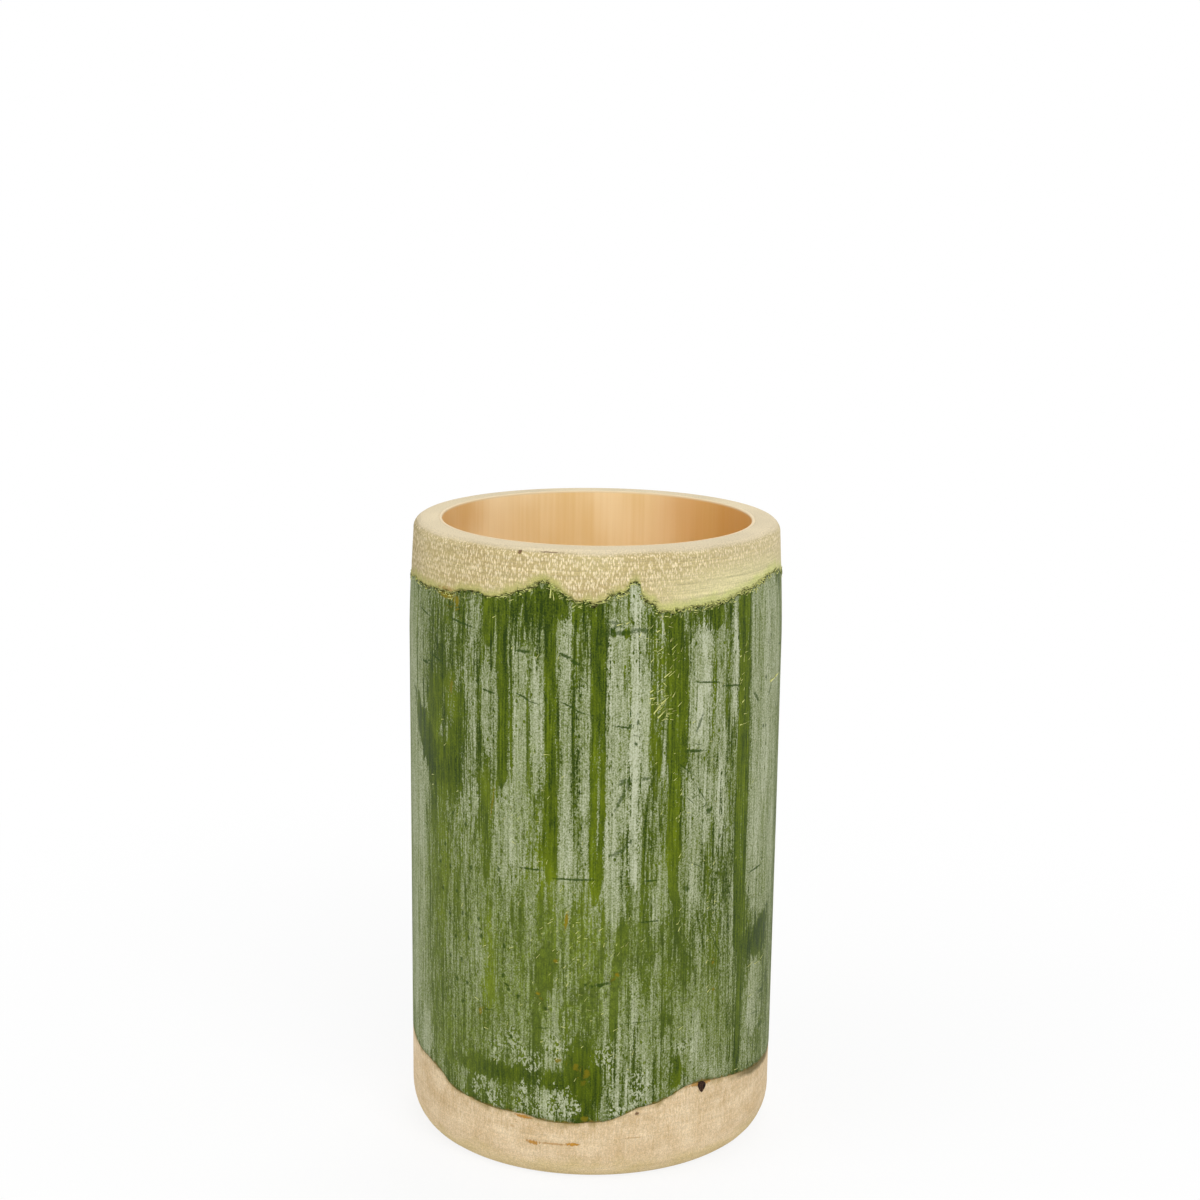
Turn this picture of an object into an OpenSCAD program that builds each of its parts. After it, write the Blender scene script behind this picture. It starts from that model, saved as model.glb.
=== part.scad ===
// Bamboo cup: one internode of a green culm, cut so that its node closes the bottom.
// The timber wall carries everything. The green rind lies flush in a shallow seat around
// the wall, between the ground rim and the ground foot. The node diaphragm stands on a
// ledge at the bottom of the bore, and the pith lining stands on the diaphragm.
// Z is the culm's axis, Z = 0 is the surface that the cup stands on, and -Y is its front.
// An azimuth is measured from the front, -Y, towards +X.

/* [Culm] */
// Diameter over the green rind at the culm's widest
culm_d = 75; // [60:1:95]
// How much narrower the culm is over the rind at its foot
culm_taper = 0.6; // [0:0.1:2]
// Height of the cup from foot to lip
cup_h = 126; // [100:1:170]

/* [Layers] */
// Thickness of the green rind
rind_t = 0.5; // [0.3:0.05:1]
// Thickness of the timber between rind and lining
timber_t = 5.3; // [4:0.1:8]
// Thickness of the pith lining of the bore
lining_t = 0.7; // [0.4:0.05:1.5]
// Clearance between neighbouring layers, which are grown together on a real culm
layer_gap = 0.04; // [0.02:0.01:0.1]

/* [Rim] */
// Height over which the outside is ground in towards the lip
rim_ground_h = 23; // [14:0.5:30]
// How far the lip is ground in, on the radius
rim_ground_depth = 1; // [0.5:0.1:2]
// Radius of the lip's outer edge
lip_outer_r = 2.1; // [0.8:0.1:2.5]
// Radius of the lip's inner edge
lip_inner_r = 0.3; // [0.1:0.05:0.35]
// Mean height of the bare band between the rind and the lip
rim_band_h = 9.5; // [7:0.5:12]

/* [Foot] */
// Mean height of the bare band between the foot and the rind
foot_band_h = 15; // [12:0.5:18]
// Height of the foot's rounded outer edge
foot_round_h = 7.4; // [4:0.2:8]
// Depth of the foot's rounded outer edge, on the radius
foot_round_r = 4.6; // [2:0.2:5]
// Width of the ledge that carries the diaphragm, on the radius
ledge_w = 3.6; // [2:0.2:5]
// Height of the ledge above the surface that the cup stands on
ledge_h = 5; // [3:0.2:8]
// Rounding of the foot's inner edge
foot_inner_r = 0.8; // [0.3:0.1:1.5]

/* [Node diaphragm] */
// Thickness of the diaphragm at its middle
diaphragm_t = 4.6; // [3:0.2:8]
// How far the diaphragm's underside is arched at its middle
underside_arch = 0.8; // [0:0.1:2]
// How far the cup's floor is dished at its middle
floor_dish = 1; // [0:0.1:2]
// Radius of the hollow corner between floor and wall
floor_corner_r = 3.4; // [2:0.2:6]

/* [Bud knot] */
// Azimuth of the knot that the branch bud left at the rind's lower edge
knot_azimuth = 36; // [0:1:359]
// Width of the knot
knot_w = 1.7; // [1.2:0.1:3]
// Height of the knot
knot_h = 2.2; // [1.6:0.1:4]
// Depth of the knot in the timber
knot_depth = 2.2; // [1:0.1:3]

/* [Hidden] */

// Columns around the culm in the rind's wavy edges
edge_columns = 120;
// Segments in each rounded stretch of a profile
arc_steps = 8;
// Segments in the ground stretch below the lip
ground_steps = 6;
// How fast the ground stretch curves in: 1 is a plain cone
ground_curve = 1.6;
// Segments that a revolved body's circle is drawn with
round_fn = 180;
// Overrun of the cuts
overrun = 1;

culm_r = culm_d / 2;
foot_r = culm_r - culm_taper / 2;
bed_depth = rind_t + layer_gap;
timber_bore_r = culm_r - bed_depth - timber_t;
lining_outer_r = timber_bore_r - layer_gap;
bore_r = lining_outer_r - lining_t;
foot_bore_r = timber_bore_r - ledge_w;
ground_z = cup_h - rim_ground_h;

diaphragm_r = timber_bore_r - layer_gap;
diaphragm_foot_z = ledge_h + layer_gap;
floor_edge_z = diaphragm_foot_z + underside_arch + diaphragm_t + floor_dish;
floor_edge_r = bore_r - floor_corner_r;
shoulder_z = floor_edge_z + floor_corner_r;
lining_foot_z = shoulder_z + layer_gap;

// Where the rind ends at the rim, as [azimuth, share of rim_band_h below the lip]
rim_edge_shares = [
    [0, 1.03], [4, 0.9], [8, 0.8], [11, 0.67], [13, 0.9], [16, 1.13], [21, 1.25], [29, 1.21],
    [37, 1.16], [46, 1.14], [53, 1.06], [60, 0.91], [73, 0.87], [88, 1.08], [100, 1.22],
    [112, 0.82], [126, 1.06], [140, 1.18], [152, 0.8], [166, 1.05], [180, 1.2], [194, 0.9],
    [208, 1.12], [220, 0.76], [234, 1.08], [248, 1.16], [262, 0.92], [274, 1.04], [287, 1.15],
    [300, 1.12], [308, 1.2], [314, 1.12], [318, 1.03], [324, 1.02], [328, 1.1], [332, 1.04],
    [338, 0.93], [341, 0.81], [344, 0.68], [347, 0.75], [350, 0.93], [353, 1.06], [357, 1.04],
];
// Where the rind ends at the foot, as [azimuth, share of foot_band_h above the foot]
foot_edge_shares = [
    [0, 0.86], [5, 0.88], [10, 0.95], [15, 1.04], [20, 1.07], [25, 1.14], [30, 1.23], [35, 1.24],
    [40, 1.22], [47, 1.18], [55, 1.13], [66, 1.08], [78, 1.06], [95, 1.1], [112, 1.02],
    [130, 0.9], [150, 0.84], [170, 0.8], [190, 0.86], [210, 0.98], [230, 1.08], [250, 1.2],
    [267, 1.3], [280, 1.28], [293, 1.2], [300, 1.18], [307, 1.11], [313, 0.98], [320, 0.94],
    [330, 0.9], [340, 0.9], [346, 0.85], [353, 0.84],
];
knot_top_z = foot_edge_z(knot_azimuth);

// Entry i of a table of [azimuth, share] that runs round the culm again and again
function around(table, i) =
    let (n = len(table), turn = floor(i / n), entry = table[i - n * turn])
    [entry[0] + 360 * turn, entry[1]];

// Last entry of the table at or before azimuth a, from 0 up to 360
function entry_before(table, a) = len([for (entry = table) if (entry[0] <= a) entry]) - 1;

// Smooth value between p1 and p2 at t, led by the neighbours p0 and p3
function eased(p0, p1, p2, p3, t) =
    let (
        span = p2[0] - p1[0],
        in_slope = (p2[1] - p0[1]) / (p2[0] - p0[0]) * span,
        out_slope = (p3[1] - p1[1]) / (p3[0] - p1[0]) * span
    )
    (2 * t ^ 3 - 3 * t ^ 2 + 1) * p1[1] + (t ^ 3 - 2 * t ^ 2 + t) * in_slope
        + (3 * t ^ 2 - 2 * t ^ 3) * p2[1] + (t ^ 3 - t ^ 2) * out_slope;

// Share of the table at azimuth a, from 0 up to 360
function share_at(table, a) =
    let (i = entry_before(table, a), p1 = around(table, i), p2 = around(table, i + 1))
    eased(around(table, i - 1), p1, p2, around(table, i + 2), (a - p1[0]) / (p2[0] - p1[0]));

function rim_edge_z(a) = cup_h - rim_band_h * share_at(rim_edge_shares, a);
function foot_edge_z(a) = foot_band_h * share_at(foot_edge_shares, a);

// Radius over the rind at height z: the taper, then the grinding towards the lip
function skin_r(z) =
    z < ground_z
        ? foot_r + (culm_r - foot_r) * z / ground_z
        : culm_r - rim_ground_depth * ((z - ground_z) / rim_ground_h) ^ ground_curve;

// Point on the culm at an azimuth, radius and height
function on_culm(a, r, z) = [r * sin(a), -r * cos(a), z];

// Outline of the culm's outside from the foot's flat to the lip's flat, depth below the rind's surface
function outside(depth) = concat(
    [for (i = [0:arc_steps])
        let (t = 90 * i / arc_steps)
        [skin_r(foot_round_h) - foot_round_r * (1 - sin(t)) - depth, foot_round_h * (1 - cos(t))]],
    [for (i = [0:ground_steps])
        let (z = ground_z + (rim_ground_h - lip_outer_r) * i / ground_steps)
        [skin_r(z) - depth, z]],
    [for (i = [1:arc_steps])
        let (t = 90 * i / arc_steps)
        [skin_r(cup_h - lip_outer_r) - lip_outer_r * (1 - cos(t)) - depth,
            cup_h - lip_outer_r * (1 - sin(t))]]
);

// Layer of the culm's outside between the surface and a depth below it
module outer_layer(depth) {
    inside = outside(depth);
    rotate_extrude($fn = round_fn)
        polygon(concat(outside(0), [for (i = [len(inside) - 1:-1:0]) inside[i]]));
}

// Collar around the culm between the rind's two wavy edges, grown at both edges by grow
module rind_band(grow) {
    inner_r = bore_r;
    outer_r = culm_r + overrun;
    columns = [for (i = [0:edge_columns - 1]) 360 * i / edge_columns];
    corners = [for (a = columns)
        let (low = foot_edge_z(a) - grow, high = rim_edge_z(a) + grow)
        [on_culm(a, inner_r, low), on_culm(a, outer_r, low),
            on_culm(a, outer_r, high), on_culm(a, inner_r, high)]];
    sides = len(corners[0]);
    faces = [for (i = [0:edge_columns - 1], side = [0:sides - 1])
        let (
            here = i * sides,
            there = (i + 1) % edge_columns * sides,
            next = (side + 1) % sides
        )
        each [[here + side, here + next, there + next], [here + side, there + next, there + side]]];
    polyhedron([for (column = corners) each column], faces);
}

// Wedge-shaped knot, its point down, that runs out of the timber along its azimuth
module knot_wedge(grow) {
    half_w = knot_w / 2 + grow;
    rotate([0, 0, knot_azimuth])
        translate([0, -skin_r(knot_top_z), knot_top_z])
            rotate([90, 0, 0])
                translate([0, 0, -knot_depth - grow])
                    linear_extrude(knot_depth + grow + overrun)
                        polygon([[-half_w, grow], [0, -knot_h - grow], [half_w, grow]]);
}

// Timber with its bore, the ledge for the diaphragm, the rind's seat and the knot's pocket
module culm_wall() {
    foot_edge = [for (i = [0:arc_steps])
        let (t = 90 * i / arc_steps)
        [foot_bore_r + foot_inner_r * (1 - cos(t)), foot_inner_r * (1 - sin(t))]];
    color("burlywood")
        difference() {
            rotate_extrude($fn = round_fn)
                polygon(concat(
                    foot_edge,
                    outside(0),
                    [[timber_bore_r, cup_h], [timber_bore_r, ledge_h], [foot_bore_r, ledge_h]]
                ));
            intersection() {
                outer_layer(bed_depth);
                rind_band(layer_gap);
            }
            knot_wedge(layer_gap);
        }
}

// Green rind between its two wavy edges, notched where the knot meets it
module green_rind() {
    color("olivedrab")
        difference() {
            intersection() {
                outer_layer(rind_t);
                rind_band(0);
            }
            knot_wedge(layer_gap);
        }
}

// Lining of the bore, from the diaphragm's shoulder to the lip
module pith_lining() {
    lip_edge = [for (i = [0:arc_steps])
        let (t = 90 * i / arc_steps)
        [bore_r + lip_inner_r * (1 - sin(t)), cup_h - lip_inner_r * (1 - cos(t))]];
    color("peru")
        rotate_extrude($fn = round_fn)
            polygon(concat(
                [[bore_r, lining_foot_z], [lining_outer_r, lining_foot_z], [lining_outer_r, cup_h]],
                lip_edge
            ));
}

// Floor of the cup: dished above, arched below, with a hollow corner up to the lining
module node_diaphragm() {
    floor_line = [for (i = [0:arc_steps])
        let (s = i / arc_steps)
        [floor_edge_r * s, floor_edge_z - floor_dish * (1 - s ^ 2)]];
    corner = [for (i = [1:arc_steps])
        let (t = 90 * i / arc_steps)
        [floor_edge_r + floor_corner_r * sin(t), shoulder_z - floor_corner_r * cos(t)]];
    underside = [for (i = [arc_steps:-1:0])
        let (s = i / arc_steps)
        [foot_bore_r * s, diaphragm_foot_z + underside_arch * (1 - s ^ 2)]];
    color("tan")
        rotate_extrude($fn = round_fn)
            polygon(concat(
                floor_line,
                corner,
                [[diaphragm_r, shoulder_z], [diaphragm_r, diaphragm_foot_z]],
                underside
            ));
}

// Dark knot of the branch bud, flush with the ground foot
module bud_knot() {
    color("saddlebrown")
        intersection() {
            rotate_extrude($fn = round_fn)
                polygon(concat(outside(0), [[0, cup_h], [0, 0]]));
            knot_wedge(0);
        }
}

culm_wall();
green_rind();
pith_lining();
node_diaphragm();
bud_knot();
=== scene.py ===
"""Bamboo cup cut from one culm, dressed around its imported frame.

Sizes in the classes are millimetres. Azimuths are degrees round the culm, from the
front (-Y) towards +X. Meshes are in metres, in the frame's own place.
"""
import logging
import math
from collections.abc import Callable
from dataclasses import dataclass, field
from enum import Enum
from functools import reduce

import bmesh
import bpy
import numpy as np
from mathutils import Matrix, Quaternion, Vector


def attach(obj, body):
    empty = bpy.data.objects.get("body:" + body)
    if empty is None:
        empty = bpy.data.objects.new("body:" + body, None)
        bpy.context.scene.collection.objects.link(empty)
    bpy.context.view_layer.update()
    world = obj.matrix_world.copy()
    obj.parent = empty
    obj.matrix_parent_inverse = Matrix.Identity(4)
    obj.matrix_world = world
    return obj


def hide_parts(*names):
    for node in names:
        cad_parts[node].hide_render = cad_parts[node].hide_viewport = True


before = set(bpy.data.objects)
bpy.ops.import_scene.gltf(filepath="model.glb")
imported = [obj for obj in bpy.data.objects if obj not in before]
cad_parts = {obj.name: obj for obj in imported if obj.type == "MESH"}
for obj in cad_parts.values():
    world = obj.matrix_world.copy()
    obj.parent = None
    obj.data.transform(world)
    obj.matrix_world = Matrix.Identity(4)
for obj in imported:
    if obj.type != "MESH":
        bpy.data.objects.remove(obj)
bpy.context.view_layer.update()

MM = 0.001
FULL_TURN = 360.0
SEAM_MERGE = 1e-6  # metres
MARK_REACH = 1.1  # millimetres
OUTSIDE_ALL = -3.0  # millimetres
WHITE = (1, 1, 1, 1)
log = logging.getLogger("bamboo_cup")

Array = np.ndarray
Random = np.random.RandomState
BMesh = bmesh.types.BMesh
Colour = tuple[float, float, float, float]
Material = bpy.types.Material
Mesh = bpy.types.Mesh
Object = bpy.types.Object
Point = tuple[float, float, float]
Pair = tuple[float, float]
Rows = tuple[tuple[float, ...], ...]
Socket = bpy.types.NodeSocket
Dressed = tuple[Socket, Socket, Socket | float]


class Slot(Enum):
    """Material slots of the cup's pieces."""

    TIMBER = "culm_timber"
    RIND = "green_rind"
    LINING = "pith_lining"
    FLOOR = "node_diaphragm"
    KNOT = "bud_knot"


class Node(Enum):
    """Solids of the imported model."""

    WALL = "culm_wall"
    RIND = "green_rind"
    LINING = "pith_lining"
    FLOOR = "node_diaphragm"
    KNOT = "bud_knot"


class MarkKind(Enum):
    """What a mark does to the surface, as the value its attribute carries."""

    DARK = 0.0
    STAIN = 1.0


def srgb(red: float, green: float, blue: float) -> Colour:
    """Linear colour, with an alpha of 1, from sRGB levels of 0 to 255."""
    levels = [v / 255 for v in (red, green, blue)]
    return (*(v / 12.92 if v <= 0.04045 else ((v + 0.055) / 1.055) ** 2.4 for v in levels), 1.0)


def ease(t: Array) -> Array:
    """Smooth step of values from 0 to 1."""
    t = np.clip(t, 0, 1)
    return t * t * (3 - 2 * t)


def turn_between(az: Array, centre: float | Array) -> Array:
    """Signed turn in degrees, from -180 to 180, from a centre to azimuths."""
    return np.mod(az - centre + FULL_TURN / 2, FULL_TURN) - FULL_TURN / 2


def quarter(steps: int) -> list[float]:
    """Angles of a quarter turn in equal steps, in radians from 0."""
    return [math.pi / 2 * i / steps for i in range(steps + 1)]


def each(form: type, rows: Rows, **fixed: object) -> tuple:
    """One form for each row of sizes."""
    return tuple(form(*row, **fixed) for row in rows)


def put(name: str, data: bpy.types.ID) -> Object:
    """Adds an object for a mesh, a lamp or a camera to the scene.

    Args:
        name: the object's name.
        data: what the object shows.

    Returns:
        The object.
    """
    made = bpy.data.objects.new(name, data)
    bpy.context.scene.collection.objects.link(made)
    return made


def put_mesh(name: str, bm: BMesh, material: Material) -> Object:
    """Adds an object made of a bmesh, which is freed.

    Args:
        name: the object's name.
        bm: the shape in metres.
        material: the finish.

    Returns:
        The new object.
    """
    mesh = bpy.data.meshes.new(name)
    bm.to_mesh(mesh)
    bm.free()
    mesh.materials.append(material)
    return put(name, mesh)


# The culm's form


@dataclass(frozen=True)
class WavyEdge:
    """Edge that runs round the culm through given (azimuth, share) knots."""

    knots: Rows

    def share(self, az: Array) -> Array:
        """Share of the band's height, eased between the knots.

        Args:
            az: azimuths in degrees.

        Returns:
            The shares, by a curve whose slope at a knot follows its neighbours.
        """
        places, shares = np.array(self.knots).T
        count = len(places)
        a = np.mod(az, FULL_TURN)
        i = np.searchsorted(places, a, side="right") - 1
        steps = [i + s for s in (-1, 0, 1, 2)]
        x0, x1, x2, x3 = (places[s % count] + FULL_TURN * np.floor_divide(s, count) for s in steps)
        y0, y1, y2, y3 = (shares[s % count] for s in steps)
        span = x2 - x1
        t = (a - x1) / span
        start, end = (y2 - y0) / (x2 - x0) * span, (y3 - y1) / (x3 - x1) * span
        return ((2 * t**3 - 3 * t**2 + 1) * y1 + (t**3 - 2 * t**2 + t) * start
                + (3 * t**2 - 2 * t**3) * y2 + (t**3 - t**2) * end)


@dataclass(frozen=True)
class Ripple:
    """Seeded noise from -1 to 1 over the culm's skin, which closes on itself round the axis."""

    seed: int
    cells: int
    length: float = 500.0
    rows: int = 97

    def at(self, az: Array, z: Array | float = 0.0) -> Array:
        """Noise over the skin.

        Args:
            az: azimuths in degrees.
            z: heights in millimetres.

        Returns:
            The noise, from -1 to 1.
        """
        values = Random(self.seed).uniform(-1, 1, (self.rows, self.cells))
        u, v = np.mod(az, FULL_TURN) / FULL_TURN * self.cells, np.add(z, self.length) / self.length
        i, j = np.floor(u).astype(int), np.floor(v).astype(int)
        fu, fv = ease(u - i), ease(v - j)
        low, high = (values[row % self.rows, i % self.cells] * (1 - fu)
                     + values[row % self.rows, (i + 1) % self.cells] * fu for row in (j, j + 1))
        return low * (1 - fv) + high * fv


@dataclass(frozen=True)
class Culm:
    """Form that all the pieces share: skin, rind edges, bore and foot."""

    height: float = 126.0
    radius: float = 37.5
    foot_radius: float = 37.2
    ground_height: float = 23.0
    ground_depth: float = 1.0
    ground_curve: float = 1.6
    rim_band: float = 9.5
    foot_band: float = 15.0
    lip_radius: float = 2.1
    bore: float = 30.92
    lining_outer: float = 31.62
    timber_bore: float = 31.66
    foot_bore: float = 28.06
    ledge_height: float = 5.0
    foot_round_height: float = 7.4
    foot_round_radius: float = 4.6
    rind_thickness: float = 0.5
    bed_depth: float = 0.54
    tooth_height: float = 0.2
    teeth: Ripple = Ripple(37, 190, rows=3)
    notches: Ripple = Ripple(43, 430, rows=3)
    rim_edge_wave: WavyEdge = WavyEdge((
        (0, 1.03), (3, 0.95), (5, 0.84), (9.4, 0.79), (9.8, 0.67), (12.9, 0.66), (13.3, 0.86),
        (15.5, 1.02), (19, 1.19), (23.5, 1.24), (29, 1.19), (37, 1.16), (43, 1.12), (48, 1.05),
        (53, 1.02), (58, 0.98), (61, 0.91), (65, 0.88), (73, 0.89), (88, 1.08), (100, 1.22),
        (112, 0.82), (126, 1.06), (140, 1.18), (152, 0.8), (166, 1.05), (180, 1.2), (194, 0.9),
        (208, 1.12), (220, 0.76), (234, 1.08), (248, 1.16), (262, 1.2), (270, 1.26), (278, 1.2),
        (287, 1.14), (294, 1.16), (305, 1.13), (312, 1.12), (316, 1.03), (323, 0.99), (326, 1.04),
        (328.6, 1.05), (332, 0.99), (336, 0.91), (339.6, 0.81), (342.5, 0.71), (345, 0.63),
        (347, 0.68), (349, 0.8), (352, 0.93), (354.6, 1), (357, 1.02)))
    foot_edge_wave: WavyEdge = WavyEdge((
        (0, 0.86), (5, 0.88), (10, 0.95), (15, 1.04), (20, 1.07), (25, 1.14), (30, 1.23),
        (35, 1.24), (40, 1.22), (47, 1.18), (55, 1.13), (66, 1.08), (78, 1.06), (95, 1.1),
        (112, 1.02), (130, 0.9), (150, 0.84), (170, 0.8), (190, 0.86), (210, 0.98), (230, 1.08),
        (250, 1.2), (267, 1.3), (280, 1.28), (293, 1.2), (300, 1.18), (307, 1.11), (313, 0.98),
        (320, 0.94), (330, 0.9), (340, 0.9), (346, 0.85), (353, 0.84)))

    def rim_edge(self, az: Array) -> Array:
        """Height of the rind's upper edge, with the teeth that the grinding tore."""
        teeth = self.tooth_height * (self.teeth.at(az) + self.notches.at(az))
        return self.height - self.rim_band * self.rim_edge_wave.share(az) - teeth

    def foot_edge(self, az: Array) -> Array:
        """Height of the rind's lower edge."""
        return self.foot_band * self.foot_edge_wave.share(az)

    def skin(self, z: Array) -> Array:
        """Radius over the rind: the taper, then the grinding towards the lip.

        Args:
            z: heights in millimetres.

        Returns:
            Radii in millimetres.
        """
        ground_z = self.height - self.ground_height
        taper = self.foot_radius + (self.radius - self.foot_radius) * z / ground_z
        above = np.clip((z - ground_z) / self.ground_height, 0, None)
        return np.where(z < ground_z, taper,
                        self.radius - self.ground_depth * above**self.ground_curve)

    def place(self, az: float, radius: float, z: float) -> Vector:
        """Point in metres at an azimuth, a radius and a height in millimetres."""
        a = math.radians(az)
        return Vector((radius * math.sin(a), -radius * math.cos(a), z)) * MM

    def arc(self, az: Array) -> Array:
        """Length along the skin, in millimetres, of a turn in degrees."""
        return np.radians(az) * self.radius


# Turned pieces


@dataclass(frozen=True)
class Ring:
    """One ring of a turned piece.

    Its height is z + foot x the lower edge's height + rim x the upper edge's height. Its
    radius is given, or else it lies at a depth below the culm's skin. Relief, ragged and
    lift say how much of the piece's unevenness it takes.
    """

    z: float
    radius: float = math.nan
    depth: float = 0.0
    foot: float = 0.0
    rim: float = 0.0
    relief: float = 0.0
    ragged: float = 0.0
    lift: float = 0.0


@dataclass
class Piece:
    """One visible piece of the cup and what it stands for in the frame."""

    culm: Culm
    name: str
    slot: Slot
    node: Node | None = None

    def shape(self, bm: BMesh) -> None:
        """Fills the bmesh with the piece's shape, in metres.

        Args:
            bm: the empty bmesh, filled in metres.
        """
        raise NotImplementedError

    def work(self, mesh: Mesh) -> None:
        """Works and dresses the finished mesh."""

    def build(self, finish: Material) -> Object:
        """Shapes, works and dresses the piece, ties it to the frame and logs it.

        Args:
            finish: the material.

        Returns:
            The finished object.
        """
        bm = bmesh.new()
        self.shape(bm)
        bmesh.ops.recalc_face_normals(bm, faces=bm.faces)
        piece = put_mesh(self.name, bm, finish)
        piece.data.shade_smooth()
        self.work(piece.data)
        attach(piece, "root")
        if self.node:
            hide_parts(self.node.value)
        log.info("%s: %d faces", piece.name, len(piece.data.polygons))
        return piece


@dataclass
class TurnedPiece(Piece):
    """Piece whose outline is spun round the culm's axis and then worked all round."""

    columns: int = 720
    sectors: int = 12
    closed: bool = True

    def rings(self) -> list[Ring]:
        """Rings from the foot outwards, up, over and back down."""
        raise NotImplementedError

    def unevenness(self, az: Array, z: Array) -> dict[str, Array]:
        """Relief outwards, ragged drop and lift, in millimetres, that the rings take shares of.

        Args:
            az, z: the vertices' azimuths and heights.

        Returns:
            Millimetres under the names relief, ragged and lift.
        """
        raise NotImplementedError

    def dress(self, mesh: Mesh, az: Array, z: Array) -> None:
        """Writes the attributes that the piece's finish reads.

        Args:
            mesh: the worked mesh.
            az, z: the vertices' azimuths and heights.
        """

    def shape(self, bm: BMesh) -> None:
        """Spins one sector of the outline, then turns its copies round the axis.

        Args:
            bm: the empty bmesh, filled in metres.
        """
        layer = bm.verts.layers.int.new("ring")
        outline = []
        for number, ring in enumerate(self.rings()):
            z = float(self.heights(ring.z, ring.foot, ring.rim, 0.0))
            given = not math.isnan(ring.radius)
            radius = ring.radius if given else float(self.culm.skin(z)) - ring.depth
            outline.append(bm.verts.new(self.culm.place(0, radius, z)))
            outline[-1][layer] = number
        pairs = list(zip(outline, outline[1:] + outline[:1]))[:None if self.closed else -1]
        edges = [bm.edges.new(pair) for pair in pairs]
        turn = {"cent": (0, 0, 0), "axis": (0, 0, 1)}
        sector = math.tau / self.sectors
        bmesh.ops.spin(bm, geom=outline + edges, angle=sector, steps=self.columns // self.sectors,
                       **turn)
        bmesh.ops.spin(bm, geom=bm.verts[:] + bm.edges[:] + bm.faces[:], angle=math.tau - sector,
                       steps=self.sectors - 1, use_duplicate=True, **turn)
        bmesh.ops.remove_doubles(bm, verts=bm.verts, dist=SEAM_MERGE)

    def heights(self, z: Array, foot: Array, rim: Array, az: Array) -> Array:
        """Heights of rings at azimuths, between the culm's two wavy edges."""
        return z + foot * self.culm.foot_edge(az) + rim * self.culm.rim_edge(az)

    def work(self, mesh: Mesh) -> None:
        """Moves the spun vertices to the wavy edges and the relief, and dresses them.

        Args:
            mesh: the spun mesh, whose vertices carry their ring's number.
        """
        points = np.empty(len(mesh.vertices) * 3)
        mesh.vertices.foreach_get("co", points)
        points = points.reshape(-1, 3)
        number = np.empty(len(points), dtype=np.int32)
        mesh.attributes["ring"].data.foreach_get("value", number)
        rings = self.rings()
        z, radius, foot, rim, depth, relief, ragged, lift = (
            np.array([getattr(ring, name) for ring in rings])[number]
            for name in ("z", "radius", "foot", "rim", "depth", "relief", "ragged", "lift"))
        az = np.degrees(np.arctan2(points[:, 0], -points[:, 1]))
        z = self.heights(z, foot, rim, az)
        uneven = self.unevenness(az, z)
        z = z - ragged * uneven.get("ragged", 0)
        radius = np.where(np.isnan(radius), self.culm.skin(z) - depth, radius)
        radius = radius + relief * uneven["relief"] + lift * uneven.get("lift", 0)
        a = np.radians(az)
        placed = np.stack([radius * np.sin(a), -radius * np.cos(a), z], axis=1) * MM
        mesh.vertices.foreach_set("co", placed.ravel())
        mesh.attributes.remove(mesh.attributes["ring"])
        self.dress(mesh, az, z)
        mesh.update()


def write_values(mesh: Mesh, name: str, *values: Array) -> None:
    """Writes a vertex attribute: one array makes a value, three make a vector.

    Args:
        mesh: the mesh.
        name: the attribute's name.
        values: one or three arrays, an entry for each vertex.
    """
    kind, key = ("FLOAT", "value") if len(values) == 1 else ("FLOAT_VECTOR", "vector")
    data = np.stack(np.broadcast_arrays(*values), axis=1).astype(np.float32)
    mesh.attributes.new(name, kind, "POINT").data.foreach_set(key, data.ravel())


# What grew and wore on the skin


class Area:
    """Area of the skin with a border."""

    def inside(self, culm: Culm, az: Array, z: Array, wobble: Array) -> Array:
        """Millimetres inside the border.

        Args:
            culm: the culm's form.
            az, z: places on the skin.
            wobble: noise from -1 to 1 that makes the border uneven.

        Returns:
            The distances, negative outside.
        """
        raise NotImplementedError


@dataclass(frozen=True)
class Streak(Area):
    """Upright streak of the skin: where wax was rubbed off, or where it stayed thick."""

    az: float
    top: float
    low: float
    width: float
    lean: float = 0.0
    fade: float = 5.0
    taper: float = 0.4
    end_wobble: float = 0.3
    end_rounding: float = 0.6
    side_wobble: float = 0.2
    most_wobble: float = 0.24

    def inside(self, culm: Culm, az: Array, z: Array, wobble: Array) -> Array:
        """Millimetres inside the streak, which tapers where its ends fade.

        Args:
            culm: the culm's form.
            az, z: places on the skin.
            wobble: noise from -1 to 1 that makes the border uneven.

        Returns:
            The distances, negative outside.
        """
        t = np.clip((self.top - z) / (self.top - self.low), 0, 1)
        across = np.abs(culm.arc(turn_between(az, self.az + self.lean * t)))
        half = culm.arc(self.width) / 2
        end = np.minimum(self.top - z, z - self.low) + self.end_wobble * self.fade * wobble
        uneven = np.minimum(self.side_wobble * half, self.most_wobble) * wobble
        half = half * np.clip(end / self.fade, 0, 1) ** self.taper + uneven
        return np.minimum(half - across, end + self.end_rounding)


@dataclass(frozen=True)
class Cloud:
    """Soft area of the skin that adds to a value."""

    az: float
    z: float
    half_az: float
    half_z: float
    amount: float = 1.0
    edge: float = 1.5

    def at(self, az: Array, z: Array) -> Array:
        """The amount, faded out to the cloud's border."""
        across, along = turn_between(az, self.az) / self.half_az, (z - self.z) / self.half_z
        return self.amount * ease(self.edge - np.hypot(across, along))


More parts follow.
